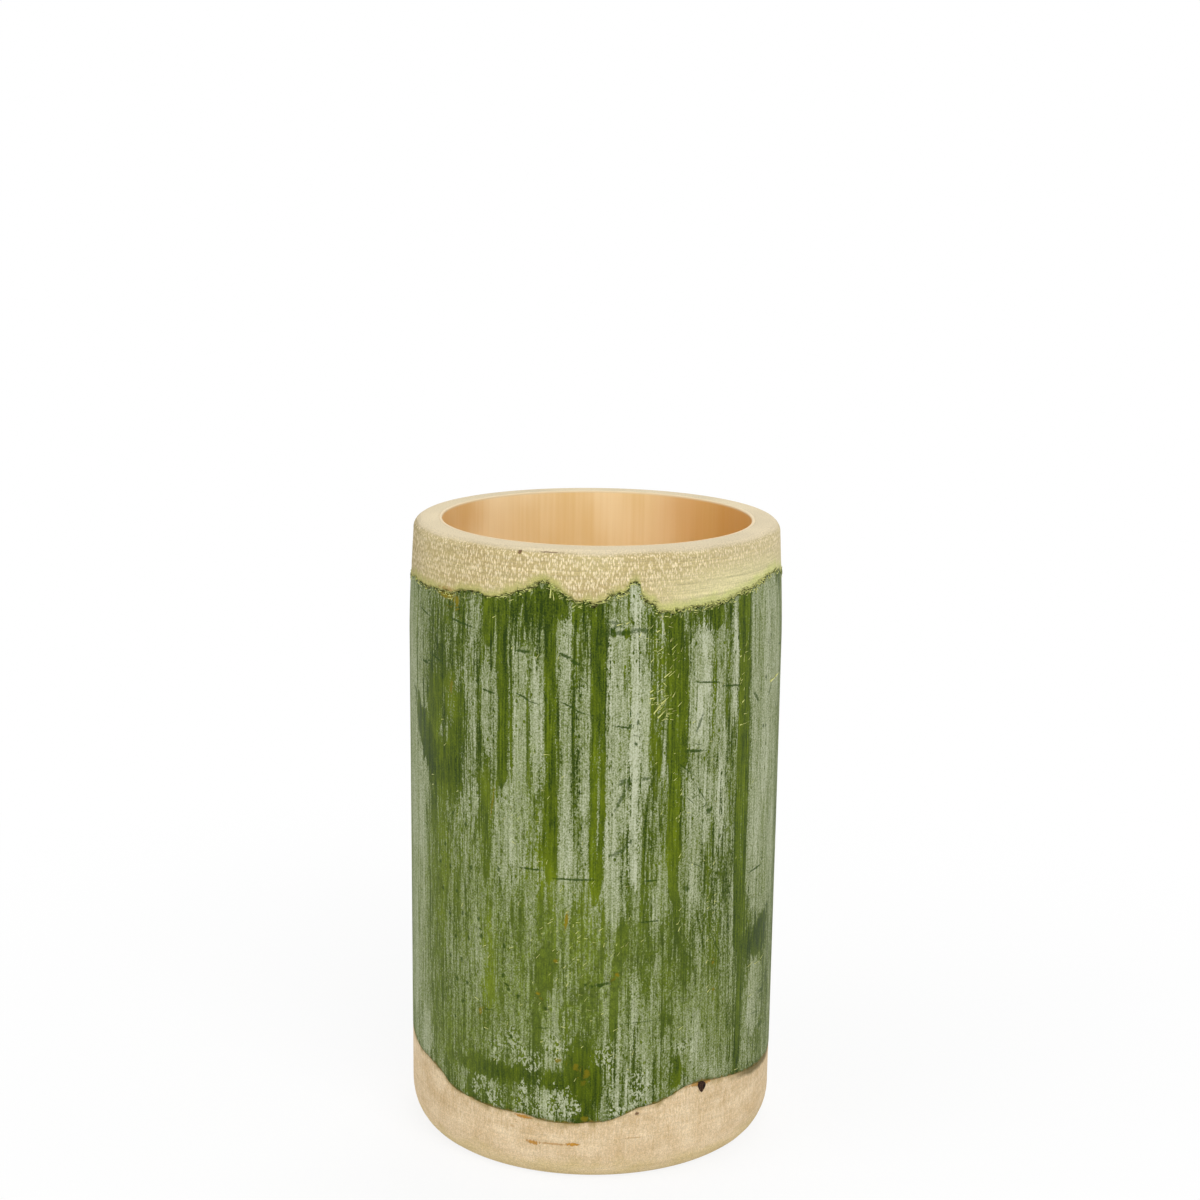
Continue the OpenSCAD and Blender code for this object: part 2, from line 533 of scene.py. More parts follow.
@dataclass(frozen=True)
class Patch(Area):
    """Patch with a ragged border, leaning by slope millimetres of rise for each across."""

    az: float
    z: float
    half_az: float
    half_z: float
    slope: float = 0.0
    border_wobble: float = 0.25

    def inside(self, culm: Culm, az: Array, z: Array, wobble: Array) -> Array:
        """Millimetres inside the patch, roughly.

        Args:
            culm: the culm's form.
            az, z: places on the skin.
            wobble: noise from -1 to 1 that makes the border uneven.

        Returns:
            The distances, negative outside.
        """
        across, half_across = culm.arc(turn_between(az, self.az)), culm.arc(self.half_az)
        along = z - self.z - self.slope * across
        reach = np.hypot(across / half_across, along / self.half_z)
        return (1 + self.border_wobble * wobble - reach) * min(half_across, self.half_z)


@dataclass(frozen=True)
class Mark:
    """Small scratch, spot or stain: a lens-shaped mark with its own straight coordinates."""

    az: float
    z: float
    half_length: float
    half_width: float
    slope: float = 0.0
    strength: float = 1.0
    kind: MarkKind = MarkKind.DARK

    def local(self, culm: Culm, az: Array, z: Array) -> tuple[Array, Array]:
        """Place along and across the mark, in half lengths and half widths.

        Args:
            culm: the culm's form.
            az, z: places on the skin.

        Returns:
            The two coordinates.
        """
        across, rise = culm.arc(turn_between(az, self.az)), z - self.z
        tilt = math.atan(self.slope)
        return ((across * math.cos(tilt) + rise * math.sin(tilt)) / self.half_length,
                (rise * math.cos(tilt) - across * math.sin(tilt)) / self.half_width)


def write_marks(mesh: Mesh, culm: Culm, marks: tuple[Mark, ...], az: Array, z: Array) -> None:
    """Gives each vertex the coordinates of its nearest mark, for the finish to draw it sharply.

    Args:
        mesh: the mesh.
        culm: the culm's form.
        marks: the marks, more than twice their reach apart.
        az, z: the vertices' places.
    """
    best = np.full(len(az), np.inf)
    kept = np.zeros((4, len(az)))
    for mark in marks:
        u, v = mark.local(culm, az, z)
        gap = np.hypot(np.clip(np.abs(u) - 1, 0, None) * mark.half_length,
                       np.clip(np.abs(v) - 1, 0, None) * mark.half_width)
        values = u, v, mark.strength * (gap < MARK_REACH), np.full(len(az), mark.kind.value)
        kept = np.where(gap < best, values, kept)
        best = np.minimum(gap, best)
    write_values(mesh, "mark", *kept[:3])
    write_values(mesh, "mark_kind", kept[3])


@dataclass
class SkinWear:
    """Streaks, clouds, patches and marks of the rind, the back ones drawn by a seeded hand.

    In a row of the back's wear, a pair is a range to draw from and a list is a choice. The
    first entry is the turn from the row's own azimuth.
    """

    bare: tuple[Streak, ...] = each(Streak, (
        (-27.6, 117, 80, 3.4, 0, 2), (-25, 106, 81, 0.8), (-12.8, 120, 61, 3.5),
        (-10.4, 98, 79, 0.6), (-19.8, 101, 80, 0.5), (-5.7, 100, 75, 0.5), (1.2, 118, 57, 4.4),
        (3.5, 60, 42, 1), (-32.2, 117, 107, 4.4, 0, 3), (-56.6, 75, 66, 1.7),
        (-13.9, 49, 39.5, 5, 0, 2), (-14.6, 42, 35.5, 1.4, 0, 3), (-16, 37, 26, 2, 0, 3),
        (-24.5, 57, 51.5, 1.1, 0, 2), (24.5, 113, 83, 6.6, 0.2, 2.5), (24.2, 87, 61, 4.5),
        (24.3, 67, 57.5, 3.4, 0, 2), (25.2, 60, 53.5, 2.2, 0.4, 2), (24.6, 54, 46, 0.8, 3, 2),
        (27.7, 47.5, 38, 0.8, 0.6, 2), (50, 118, 43, 6.4, 0.8, 2), (51.4, 46, 18, 2.8, 0, 3),
        (15.6, 79, 54, 0.8, -1.2), (32.5, 55, 44.5, 0.7, 4.3, 2), (19, 90, 83, 1.6, 0, 4),
        (12.9, 34, 18, 0.6), (38, 117, 110, 5, 0, 2), (-17, 118, 114, 5, 0, 2),
        (-57.4, 100, 92, 2.2, 0, 3), (9.6, 54, 45, 3, -0.8, 2), (7.4, 47.5, 30.5, 2.2, -1, 3),
        (-15.4, 62, 50, 1.6, 0, 3)))
    worn: tuple[Streak, ...] = each(Streak, (
        (-15.8, 80, 61, 3.6, 0, 4), (-32.2, 49.5, 34, 4.4, 0, 3), (-60, 66, 52, 2.4, 0, 3),
        (-57, 60, 49, 2.4, 0, 3), (-57, 42, 28, 3), (-36.9, 49, 37, 1.7, 0, 3), (-32, 66, 50, 1.8),
        (-12, 62, 40, 0.8), (18.6, 112, 83, 3.4, 0, 4), (37, 108, 88, 1.4),
        (42.6, 100, 89, 2, 0, 3), (37.4, 67, 49, 1.8), (42.5, 67, 49, 3), (45, 92, 62, 1.6),
        (42.3, 112, 101, 1, -3.1, 2), (54, 46, 35, 8, 0, 6), (-47.4, 112, 88, 2.6),
        (-53, 116, 98, 2.4), (-58.5, 113, 97, 2), (-42.4, 115, 104, 1.6), (30.4, 100, 88, 0.8),
        (-35.2, 104, 92, 1.2), (-38.6, 90, 66, 1), (-42.6, 84, 60, 1.2), (20.5, 50, 40, 1.2),
        (57.8, 114, 100, 0.9), (61.5, 112, 104, 1), (-50.5, 98, 84, 4, 0, 4), (9, 104, 96, 1.6),
        (-7.6, 37, 29, 6), (22.6, 44, 30, 3), (-52.5, 66, 30, 1.6), (-22.4, 113, 107, 4, 0, 3),
        (16, 64, 40, 4, 0, 6), (30, 46, 36, 3)))
    pale: tuple[Streak, ...] = each(Streak, (
        (-7, 117, 105, 0.9), (1.4, 92, 66, 0.5), (20, 112, 99, 0.9), (20.8, 93, 84, 1.3, 0, 6),
        (8.3, 34, 16, 0.5), (11, 24, 14.5, 0.5), (-6.4, 60, 40, 0.5), (45, 112, 90, 0.5),
        (26.8, 112, 104, 0.4)))
    wax: tuple[Streak, ...] = each(Streak, (
        (-75, 119, 25, 10, 0, 6), (-67.6, 116, 40, 2.4, 0, 6), (-64.8, 108, 34, 1.4, 0.5),
        (-62.2, 96, 60, 0.9, 0, 4), (-63, 28, 18, 8, 0, 3), (-32.5, 104, 85, 5),
        (-22.7, 108, 61, 5), (-17.3, 106, 80, 4.2), (-8.2, 113, 61, 3.6), (-3.3, 104, 76, 3.8),
        (-27, 79, 60, 5.4), (7, 113, 53, 6), (11.7, 121, 60, 3), (12.8, 46, 24, 2.4),
        (15, 106, 79, 2.6), (32, 111, 86, 8, 0, 3), (40.9, 92, 66, 4.4), (39.8, 67, 48, 1.6),
        (45.9, 117, 92, 2.8), (46.9, 94, 62, 1.4), (46.8, 66, 30, 2.2), (65, 119, 49, 22, 0, 6),
        (18, 61, 51, 4, 0, 3), (33, 35, 23, 4, 0, 4), (29.4, 82, 70, 3), (62, 40, 24, 10, 0, 4),
        (-37.6, 56, 49, 1.8), (31, 64, 54, 3), (35, 84, 68, 4), (-38, 80, 70, 5), (5, 50, 30, 1.6),
        (-43, 24, 15, 6, 0, 2), (-30.2, 20, 13, 3.4, 0, 2), (-20, 19.6, 12.4, 2.4, 0, 2),
        (-12.8, 19.6, 12.6, 4.6, 0, 2), (8, 22, 13, 2.4, 0, 2)))
    thick: tuple[Streak, ...] = each(Streak, (
        (11.7, 121, 60, 2.4, 0, 8), (12.8, 46, 24, 1.6), (34, 111, 98, 2), (32, 98, 88, 3),
        (41, 84, 68, 2.4), (46, 112, 92, 1.4), (4.6, 112, 96, 1.2), (64, 118, 70, 5, 0, 12),
        (-20, 19, 12.6, 2), (-13.4, 18, 13, 2.4)))
    thin_wax: tuple[Cloud, ...] = each(Cloud, (
        (-46, 72, 16, 14, -0.14), (-21, 84, 4, 20, -0.06), (-30, 72, 8, 9, -0.08),
        (-50, 106, 12, 12, -0.2), (-8, 44, 14, 12, -0.14), (-4, 55, 9, 6, -0.1),
        (18, 103, 3, 10, -0.2), (37, 98, 1.6, 11, -0.12), (37.5, 58, 4, 10, -0.1),
        (30, 45, 14, 10, -0.08), (-53, 56, 9, 14, -0.1), (-12, 22, 34, 3, -0.12),
        (4, 34, 6, 12, -0.12), (22, 52, 5, 6, -0.08), (62, 90, 12, 34, 0.16),
        (-72, 74, 11, 60, 0.24), (-52, 28, 6, 8, -0.08), (-43, 20, 8, 6, -0.12),
        (-20, 116, 16, 3.4, -0.26), (-5, 115, 6, 3, -0.2), (20, 112.6, 7, 2.6, -0.24),
        (36, 113, 9, 3, -0.22), (-2.6, 22, 5, 8, -0.2), (27, 22, 3, 4, -0.16),
        (36, 30, 12, 10, 0.16), (-60, 88, 12, 9, -0.4), (-49, 90, 8, 9, -0.3),
        (-50, 80, 8, 6, -0.3), (-43, 92, 4, 5, -0.2)))
    dull: tuple[Cloud, ...] = each(Cloud, (
        (-50, 46, 20, 26, 0.5), (-8, 44, 20, 13, 0.6), (-44, 24, 14, 8, 0.4), (40, 36, 16, 12, 0.3),
        (-24, 34, 14, 8, 0.4), (-24, 16, 16, 4, 0.4), (16, 38, 18, 14, 0.4), (-21, 84, 4, 20, 0.4),
        (-20, 54, 20, 9, 0.3), (20, 56, 14, 8, 0.3), (-18, 26, 14, 5, 0.3), (-31, 72, 9, 9, 0.4)))
    dark_patches: tuple[Patch, ...] = each(Patch, (
        (-61, 84.5, 9, 5, -0.9), (-51, 81, 9, 4), (65, 44.3, 6, 3.8, 0.3), (23.2, 33.7, 1.9, 2),
        (27.5, 22.4, 1.8, 2.2), (-26, 21.6, 20, 1.9), (-3, 21, 5, 9), (-10, 21.4, 8, 1.8),
        (6.6, 110.6, 2, 0.3), (57, 44, 5, 3), (-38, 17, 3, 2.4)))
    mottled: tuple[Patch, ...] = each(Patch, (
        (-24, 28, 2.4, 3), (-17.8, 25.2, 2.6, 2), (-10.6, 27.6, 3, 2.4), (-29.4, 25.6, 1.6, 2.4),
        (-21.6, 16.4, 2.4, 2.6), (-16.3, 15, 1.4, 3), (-8.4, 16.6, 4, 3.2), (-30, 15.6, 4, 2),
        (4.6, 26.2, 2.6, 2.2), (7.8, 15.2, 2, 1.8), (29.6, 27, 2.6, 1.2), (14.5, 20, 2, 3),
        (-36, 17, 2, 2)))
    yellowing: tuple[Cloud, ...] = each(Cloud, (
        (-32.2, 43, 3, 10, 0.9), (-47.6, 95, 3, 5, 0.5), (-33, 78.5, 3, 4, 0.7),
        (-6, 58, 12, 9, 0.3), (-2, 50, 6, 9, 0.3), (18, 98, 4, 12, 0.4), (-15, 70, 5, 12, 0.4),
        (-54, 58, 9, 12, 0.3), (-2.6, 22, 5, 6, 0.4), (49.4, 84, 3, 14, 0.3), (9, 98, 2, 12, 0.3),
        (17, 84, 3, 6, 0.3), (24, 66, 4, 8, 0.4), (1, 80, 3, 10, 0.3), (-50, 90, 7, 7, 0.2)))
    scratches: tuple[Mark, ...] = each(Mark, (
        (-20.9, 106.5, 1.8, 0.36, -0.12), (-8.4, 106.2, 1.3, 0.3, -0.4),
        (-5.6, 105, 0.9, 0.42, -0.5), (-21.4, 97.9, 1.5, 0.18, -0.35),
        (-17.8, 96.8, 1.3, 0.14, -0.2, 0.9), (-7.4, 96.7, 1.5, 0.18, -0.42),
        (-4, 95.5, 1.4, 0.14, -0.3, 0.9), (8.4, 92.6, 1.5, 0.2, -0.2), (10.4, 95.2, 0.8, 0.16, 9),
        (12.2, 89.3, 0.4, 0.26, -0.5), (-43, 110.1, 3, 0.26, -0.15), (-62.5, 110, 2.2, 0.2, -0.2),
        (-54.5, 101.8, 2.6, 0.2, -0.25), (-61.5, 100.1, 1.8, 0.3), (-32.6, 97.9, 1.5, 0.2, -0.16),
        (-18.5, 64, 2.2, 0.2), (-5.5, 62.6, 3.8, 0.22), (30.6, 86.8, 2.2, 0.32, -0.1),
        (35, 99.9, 3.2, 0.18, -0.14), (44.6, 98.3, 2.2, 0.2, -0.14), (36.5, 74.4, 0.8, 0.5, 0.4),
        (17.2, 62, 1.5, 0.16), (17.2, 53.8, 1.6, 0.16), (59.5, 59, 2.6, 0.2, 0.05),
        (57, 94.5, 1.7, 0.36, -1.2, 0.8), (29, 59.5, 0.7, 0.5, 0, 0.8),
        (66.5, 31.8, 2, 0.5, 0, 0.6), (66.5, 24.5, 1.7, 0.5, 0, 0.6),
        (9.5, 82.2, 1.1, 0.34, 0, 0.8), (15.2, 82.4, 0.8, 0.34, 0, 0.8),
        (8, 78.6, 2.4, 0.34, 2, 0.8), (7.4, 68, 1.5, 0.4, 0.5, 0.7), (2.6, 41.4, 1.8, 0.36, 0.2),
        (32.2, 92, 2.2, 0.26, 2.4, 0.8), (33.5, 78, 2.6, 0.12, -1.5, 0.8),
        (28, 83.4, 1.8, 0.14, -0.8, 0.8), (29.4, 77.2, 1.4, 0.1, -0.9, 0.8),
        (32, 64, 1.8, 0.12, -0.5, 0.8), (40.6, 46.4, 2.6, 0.12, -1.9, 0.8),
        (46, 56, 2.2, 0.12, -2, 0.8), (66.5, 94.4, 1.5, 0.3, 1.6, 0.7),
        (-71, 93.2, 1.6, 0.3, -0.3, 0.6), (14.2, 33.4, 3.8, 0.12, 0.03, 0.6),
        (7.4, 110.7, 3.6, 0.42, 0.1, 0.8), (14.6, 111, 2.2, 0.4, -0.14, 0.8),
        (5.6, 112.6, 1.8, 0.3, -0.2, 0.7), (-14.5, 32, 1.2, 0.2, 0.05, 0.7),
        (-32, 33.8, 1.2, 0.16, 0.1, 0.7), (62, 28, 3, 0.14, -0.2, 0.5)))
    spots: Rows = (
        (-48, 60.7), (-45, 56.2), (-51.5, 55.6), (-42.5, 52), (-48.4, 51), (-36, 51.8), (-40, 47.4),
        (-35, 48.6), (-45.6, 46.8), (-43, 42.4), (-48, 42.5), (-40.6, 38), (-45, 38), (-42.4, 33.8),
        (-50.5, 65), (-28.8, 63), (-27.2, 41.5), (-25.4, 38.8), (-22.2, 37.8), (-24.5, 29.2),
        (-33.8, 29.6), (-46, 30), (-1.8, 41.4), (-13.6, 36), (-27, 47.6), (-53, 61), (-39, 62),
        (-41, 70.4), (-46.6, 72), (12.6, 93.4), (11, 70), (62, 88), (63, 97.6))
    stains: tuple[Mark, ...] = each(Mark, (
        (-7.5, 54.3, 1.9, 0.3, 9), (-35.3, 33, 0.8, 0.34, 9, 0.8), (-16, 39, 0.4, 0.34),
        (-4.4, 24.4, 0.6, 0.6, 0, 0.7), (-1, 23.3, 0.6, 0.6, 0, 0.7), (-2, 21.2, 0.5, 0.5, 0, 0.4),
        (-1.4, 13.7, 0.6, 0.5, 0, 0.7), (-9.6, 25.6, 0.5, 0.4, 0, 0.8),
        (-10.6, 46, 0.4, 0.36, 0, 0.8), (7.6, 43.4, 0.4, 0.34), (39.5, 43, 0.34, 0.3, 0, 0.8),
        (39.8, 37.4, 0.34, 0.3, 0, 0.8), (-31, 76, 3, 0.14, 7, 0.6), (-47.2, 97, 1.3, 0.4, 9, 0.6),
        (-50.5, 114.9, 2.6, 0.7, -0.1), (-45, 114.2, 0.5, 1.2, 0, 0.9)), kind=MarkKind.STAIN)
    spot_size: Pair = (0.32, 0.46)
    spot_strength: float = 0.9
    back_seed: int = 41
    back_stretch: Pair = (80.0, 280.0)
    back_step: Pair = (7.0, 11.0)
    back_wear: tuple[tuple, ...] = (
        ("bare", Streak, 0, (104, 119), (20, 84), [0.7, 0.8, 1.2, 2.6, 3.6, 5, 6], (-1, 1),
         (4, 10)),
        ("worn", Streak, (2, 4), (60, 118), (20, 50), [0.8, 1.6, 3]),
        ("wax", Streak, (4, 6), (96, 120), (20, 60), [2.4, 3.4, 5, 7]),
        ("thick", Streak, (3, 7), (96, 118), (50, 80), 1.4),
        ("scratches", Mark, (-2, 2), (84, 110), (1.2, 3.4), (0.12, 0.3), (-0.3, 0.1), 0.8),
        ("scratches", Mark, (-2, 2), (40, 78), (0.3, 2.4), (0.16, 0.34), (-0.3, 0.1), 0.8),
        ("stains", Mark, (1, 3), (22, 36), (0.3, 0.6), (0.3, 0.4), 0, 0.8, MarkKind.STAIN),
        ("mottled", Patch, (0, 6), (15, 30), (2, 5), (2, 4)),
        ("thin_wax", Cloud, 0, (16, 110), (3, 9), (6, 14), (-0.25, 0.1)))
    back_yellowing: tuple[Cloud, ...] = each(Cloud, ((216, 70, 12, 24, 0.5),
                                                     (130, 60, 20, 30, 0.3)))
    back_dull: tuple[Cloud, ...] = each(Cloud, ((210, 60, 30, 30, 0.4), (120, 30, 16, 14, 0.5)))
    back_patches: tuple[Patch, ...] = each(Patch, (
        (202, 88, 4, 2.4, 0.7), (120, 40, 5, 6), (150, 21, 26, 1.8), (250, 24, 7, 10)))

    def __post_init__(self) -> None:
        """Carries the wear on round the back in the same manner."""
        spots = tuple((*spot, *self.spot_size, 0.0, self.spot_strength) for spot in self.spots)
        self.scratches += each(Mark, spots)
        rng = Random(self.back_seed)
        az, end = self.back_stretch
        while az < end:
            for name, form, turn, *sizes in self.back_wear:
                place = az + self.drawn(rng, turn)
                made = form(place, *(self.drawn(rng, size) for size in sizes))
                setattr(self, name, getattr(self, name) + (made,))
            az += rng.uniform(*self.back_step)
        self.yellowing += self.back_yellowing
        self.dull += self.back_dull
        self.dark_patches += self.back_patches

    def drawn(self, rng: Random, size: object) -> object:
        """Size drawn from a range or a choice, or else the size itself.

        Args:
            rng: the source of chance.
            size: a range, a list to choose from, or one size.

        Returns:
            The size.
        """
        if isinstance(size, tuple):
            return rng.uniform(*size)
        return rng.choice(size) if isinstance(size, list) else size


@dataclass
class GreenRind(TurnedPiece):
    """Green skin of the culm between the ground foot and the ground rim."""

    columns: int = 840
    rows: int = 92
    edge_steps: tuple[float, ...] = (0.0, 0.08, 0.25, 0.55)
    inner_shares: tuple[float, ...] = (1.0, 0.5, 0.0)
    foot_ragged: float = 0.25
    flute_depth: float = 0.06
    ridge_depth: float = 0.02
    least_torn: float = 0.03
    tear_depth: float = 0.6
    curl: float = 0.1
    curl_turn: float = 17.0
    streak_drift: float = 0.4
    wear: SkinWear = field(default_factory=SkinWear)
    flutes: Ripple = Ripple(3, 46, 60)
    ridges: Ripple = Ripple(5, 210, 22)
    tears: Ripple = Ripple(7, 380)
    gouges: Ripple = Ripple(11, 110)
    wobble: Ripple = Ripple(13, 300, 4)
    drift: Ripple = Ripple(17, 60, 16)

    def rings(self) -> list[Ring]:
        """Rings up the outside, then down the inside.

        Returns:
            The rings in order.
        """
        low, steps = self.foot_ragged, self.edge_steps
        ways = [i / self.rows for i in range(1, self.rows)]
        return ([Ring(s, foot=1, relief=0.4, ragged=-low * (1 - s), lift=0.15) for s in steps]
                + [Ring(0, foot=1 - t, rim=t, relief=1) for t in ways]
                + [Ring(-s, rim=1, relief=0.6, ragged=1 - s, lift=1 - s) for s in reversed(steps)]
                + [Ring(0, depth=self.culm.rind_thickness, foot=1 - t, rim=t,
                        ragged=t - low * (1 - t)) for t in self.inner_shares])

    def unevenness(self, az: Array, z: Array) -> dict[str, Array]:
        """Flutes and ridges of the grown skin, and its torn upper edge.

        Args:
            az, z: the vertices' azimuths and heights.

        Returns:
            Millimetres by name.
        """
        tear = np.clip(0.8 * self.tears.at(az) + 0.7 * self.gouges.at(az), 0, 1.4)
        ridges = self.ridge_depth * self.ridges.at(az, z)
        return {"relief": self.flute_depth * self.flutes.at(az, z) + ridges,
                "ragged": self.least_torn + self.tear_depth * tear,
                "lift": self.curl * (1 + self.gouges.at(az + self.curl_turn))}

    def dress(self, mesh: Mesh, az: Array, z: Array) -> None:
        """Writes streaks, wax, patches, marks and the gaps to both edges.

        Args:
            mesh: the worked mesh.
            az, z: the vertices' azimuths and heights.
        """
        wear, culm = self.wear, self.culm
        drift = az + self.streak_drift * self.drift.at(az, z)
        wobble = self.wobble.at(az, z)
        outside = np.full(len(az), OUTSIDE_ALL)

        def widest(forms: tuple) -> Array:
            """Millimetres inside the nearest of several streaks or patches."""
            return reduce(np.maximum, (f.inside(culm, drift, z, wobble) for f in forms), outside)

        def piled(clouds: tuple) -> Array:
            """Sum of several clouds."""
            return sum(cloud.at(drift, z) for cloud in clouds)

        write_values(mesh, "streaks", np.minimum(widest(wear.bare), -widest(wear.pale)),
                     widest(wear.wax + wear.pale), widest(wear.dark_patches))
        write_values(mesh, "growth", piled(wear.thin_wax), piled(wear.dull), piled(wear.yellowing))
        write_values(mesh, "coats", widest(wear.thick), widest(wear.mottled), widest(wear.worn))
        write_values(mesh, "gaps", culm.rim_edge(az) - z, z - culm.foot_edge(az), 0 * z)
        write_marks(mesh, culm, wear.scratches + wear.stains, az, z)


@dataclass
class CulmWall(TurnedPiece):
    """Timber of the culm: the ground rim, the ground foot and what the rind lies on."""

    columns: int = 840
    foot_inner_radius: float = 0.8
    seam_overlap: float = 0.14
    arc_steps: int = 9
    band_rows: int = 30
    foot_rows: int = 14
    grinding: Ripple = Ripple(19, 64, 9)
    scrapes: Ripple = Ripple(23, 260, 1.3)
    stains: tuple[Mark, ...] = each(Mark, (
        (-17.3, 7.9, 1.1, 0.42, -0.05, 0.75), (-11, 8, 2.6, 0.2, 0, 0.4),
        (-5, 8.2, 0.9, 0.28, 0, 1.4), (-24, 10.6, 0.5, 0.24, 0, 0.3), (13, 9.4, 1.6, 0.16, 0, 0.25),
        (-20.5, 13, 1.7, 0.3, -0.06, 0.8), (36, 18.3, 3, 0.4, 0, 0.6),
        (-50, 115.9, 2.6, 0.4, 0, 0.3), (150, 9, 2.6, 0.3, 0, 0.8), (221, 10, 1.4, 0.5, 0.2, 0.7),
        (96, 8, 2, 0.25, 0, 0.6)), kind=MarkKind.STAIN)
    dark_marks: tuple[Mark, ...] = each(Mark, (
        (14.3, 14.5, 0.44, 0.34, 0.3), (-23, 125.1, 0.4, 0.3), (-13.5, 125.4, 2.3, 0.1, 0, 0.7)))
    dark_edge: Cloud = Cloud(66, 16, 13, 6)
    # stretch of the rim worn to a polish, where a painted sheen brightens the colour
    polished: Cloud = Cloud(54, 116, 36, 5.5)
    knot_place: Pair = (36.0, 17.4)
    knot_swelling: float = 0.12
    knot_reach: Pair = (2.4, 2.2)
    facet_depth: float = 0.07
    scrape_depth: float = 0.02
    sunk: float = 0.05
    torn_depth: float = 0.06
    torn_sunk: float = 0.03
    flat_shares: Pair = (0.33, 0.67)
    flush_shares: Pair = (0.4, 0.8)

    def rings(self) -> list[Ring]:
        """Rings from the foot's inner edge outwards, up, over the lip and down the bore.

        Returns:
            The rings in order.
        """
        culm, inner, turns = self.culm, self.foot_inner_radius, quarter(self.arc_steps)
        top, bed, lip = culm.height, culm.bed_depth, culm.lip_radius
        rise, reach = culm.foot_round_height, culm.foot_round_radius
        flat_start = culm.foot_bore + inner
        flat_end = float(culm.skin(rise)) - reach
        rings = [Ring(inner * (1 - math.sin(t)), culm.foot_bore + inner * (1 - math.cos(t)))
                 for t in turns[::3]]
        rings += [Ring(0, flat_start + (flat_end - flat_start) * s) for s in self.flat_shares]
        rings += [Ring(rise * (1 - math.cos(t)), flat_end + reach * math.sin(t),
                       relief=0.4 * math.sin(t)) for t in turns]
        rings += [Ring(rise * (1 - i / self.foot_rows), foot=i / self.foot_rows, relief=0.6)
                  for i in range(1, self.foot_rows)]
        rings += [Ring(-0.2, foot=1), Ring(-0.03, foot=1, depth=0.03),
                  Ring(0, foot=1, depth=bed), Ring(0, foot=0.5, rim=0.5, depth=bed),
                  Ring(0, rim=1, depth=bed), Ring(0.03, rim=1, depth=0.14, lift=0.6),
                  Ring(0.12, rim=1, depth=0.06, lift=1), Ring(0.3, rim=1, depth=0.02, lift=0.8)]
        lip_z = top - lip
        rings += [Ring(lip_z * i / self.band_rows, rim=1 - i / self.band_rows, relief=1)
                  for i in range(1, self.band_rows)]
        top_r = float(culm.skin(lip_z)) - lip
        rings += [Ring(lip_z + lip * math.sin(t), top_r + lip * math.cos(t),
                       relief=0.5 * math.cos(t)) for t in turns]
        rings += [Ring(top, top_r + (culm.lining_outer - top_r) * s) for s in self.flush_shares]
        return rings + [Ring(z, radius) for z, radius in (
            (top - 0.01, culm.lining_outer), (top - 0.1, culm.lining_outer - self.seam_overlap),
            (top - 1, culm.timber_bore), (culm.ledge_height, culm.timber_bore),
            (culm.ledge_height, culm.foot_bore))]

    def unevenness(self, az: Array, z: Array) -> dict[str, Array]:
        """Facets left by grinding, scrapes along the fibres and the swelling round the knot.

        Args:
            az, z: the vertices' azimuths and heights.

        Returns:
            Millimetres by name.
        """
        knot_az, knot_z = self.knot_place
        wide, high = self.knot_reach
        across = self.culm.arc(turn_between(az, knot_az))
        swelling = self.knot_swelling * np.exp(-((across / wide) ** 2 + ((z - knot_z) / high) ** 2))
        scrapes = self.scrapes.at(az, z)
        facets = self.facet_depth * self.grinding.at(az, z)
        return {"relief": facets + self.scrape_depth * scrapes - self.sunk + swelling,
                "lift": self.torn_depth * scrapes - self.torn_sunk}

    def dress(self, mesh: Mesh, az: Array, z: Array) -> None:
        """Writes the gaps to the rind's edges, the worked stretches, one of them the rim's stretch
        of polish with its painted sheen, and the stains.

        Args:
            mesh: the worked mesh.
            az, z: the vertices' azimuths and heights.
        """
        culm = self.culm
        write_values(mesh, "gaps", z - culm.rim_edge(az), culm.foot_edge(az) - z,
                     self.dark_edge.at(az, z) + self.polished.at(az, z))
        write_marks(mesh, culm, self.stains + self.dark_marks, az, z)


@dataclass
class PithLining(TurnedPiece):
    """Thin smooth lining of the bore."""

    columns: int = 360
    lip_radius: float = 0.3
    foot_z: float = 14.88
    rows: int = 40
    wave_depth: float = 0.04
    raised: float = 0.02
    lip_turns: tuple[float, ...] = (0, 0.4, 0.8, 1.2, math.pi / 2)
    waves: Ripple = Ripple(29, 70, 44)

    def rings(self) -> list[Ring]:
        """Rings up the hidden outside, over the lip and down the bore.

        Returns:
            The rings in order.
        """
        culm, lip, start = self.culm, self.lip_radius, self.culm.height - self.lip_radius
        outside = [Ring(z, culm.lining_outer) for z in (self.foot_z, start, culm.height)]
        rounding = [Ring(culm.height - lip * (1 - math.cos(t)), culm.bore + lip * (1 - math.sin(t)))
                    for t in self.lip_turns]
        return outside + rounding + [
            Ring(start + (self.foot_z - start) * i / self.rows, culm.bore,
                 relief=float(i < self.rows))
            for i in range(1, self.rows + 1)]

    def unevenness(self, az: Array, z: Array) -> dict[str, Array]:
        """Slow waves of the scraped bore."""
        return {"relief": self.wave_depth * self.waves.at(az, z) + self.raised}


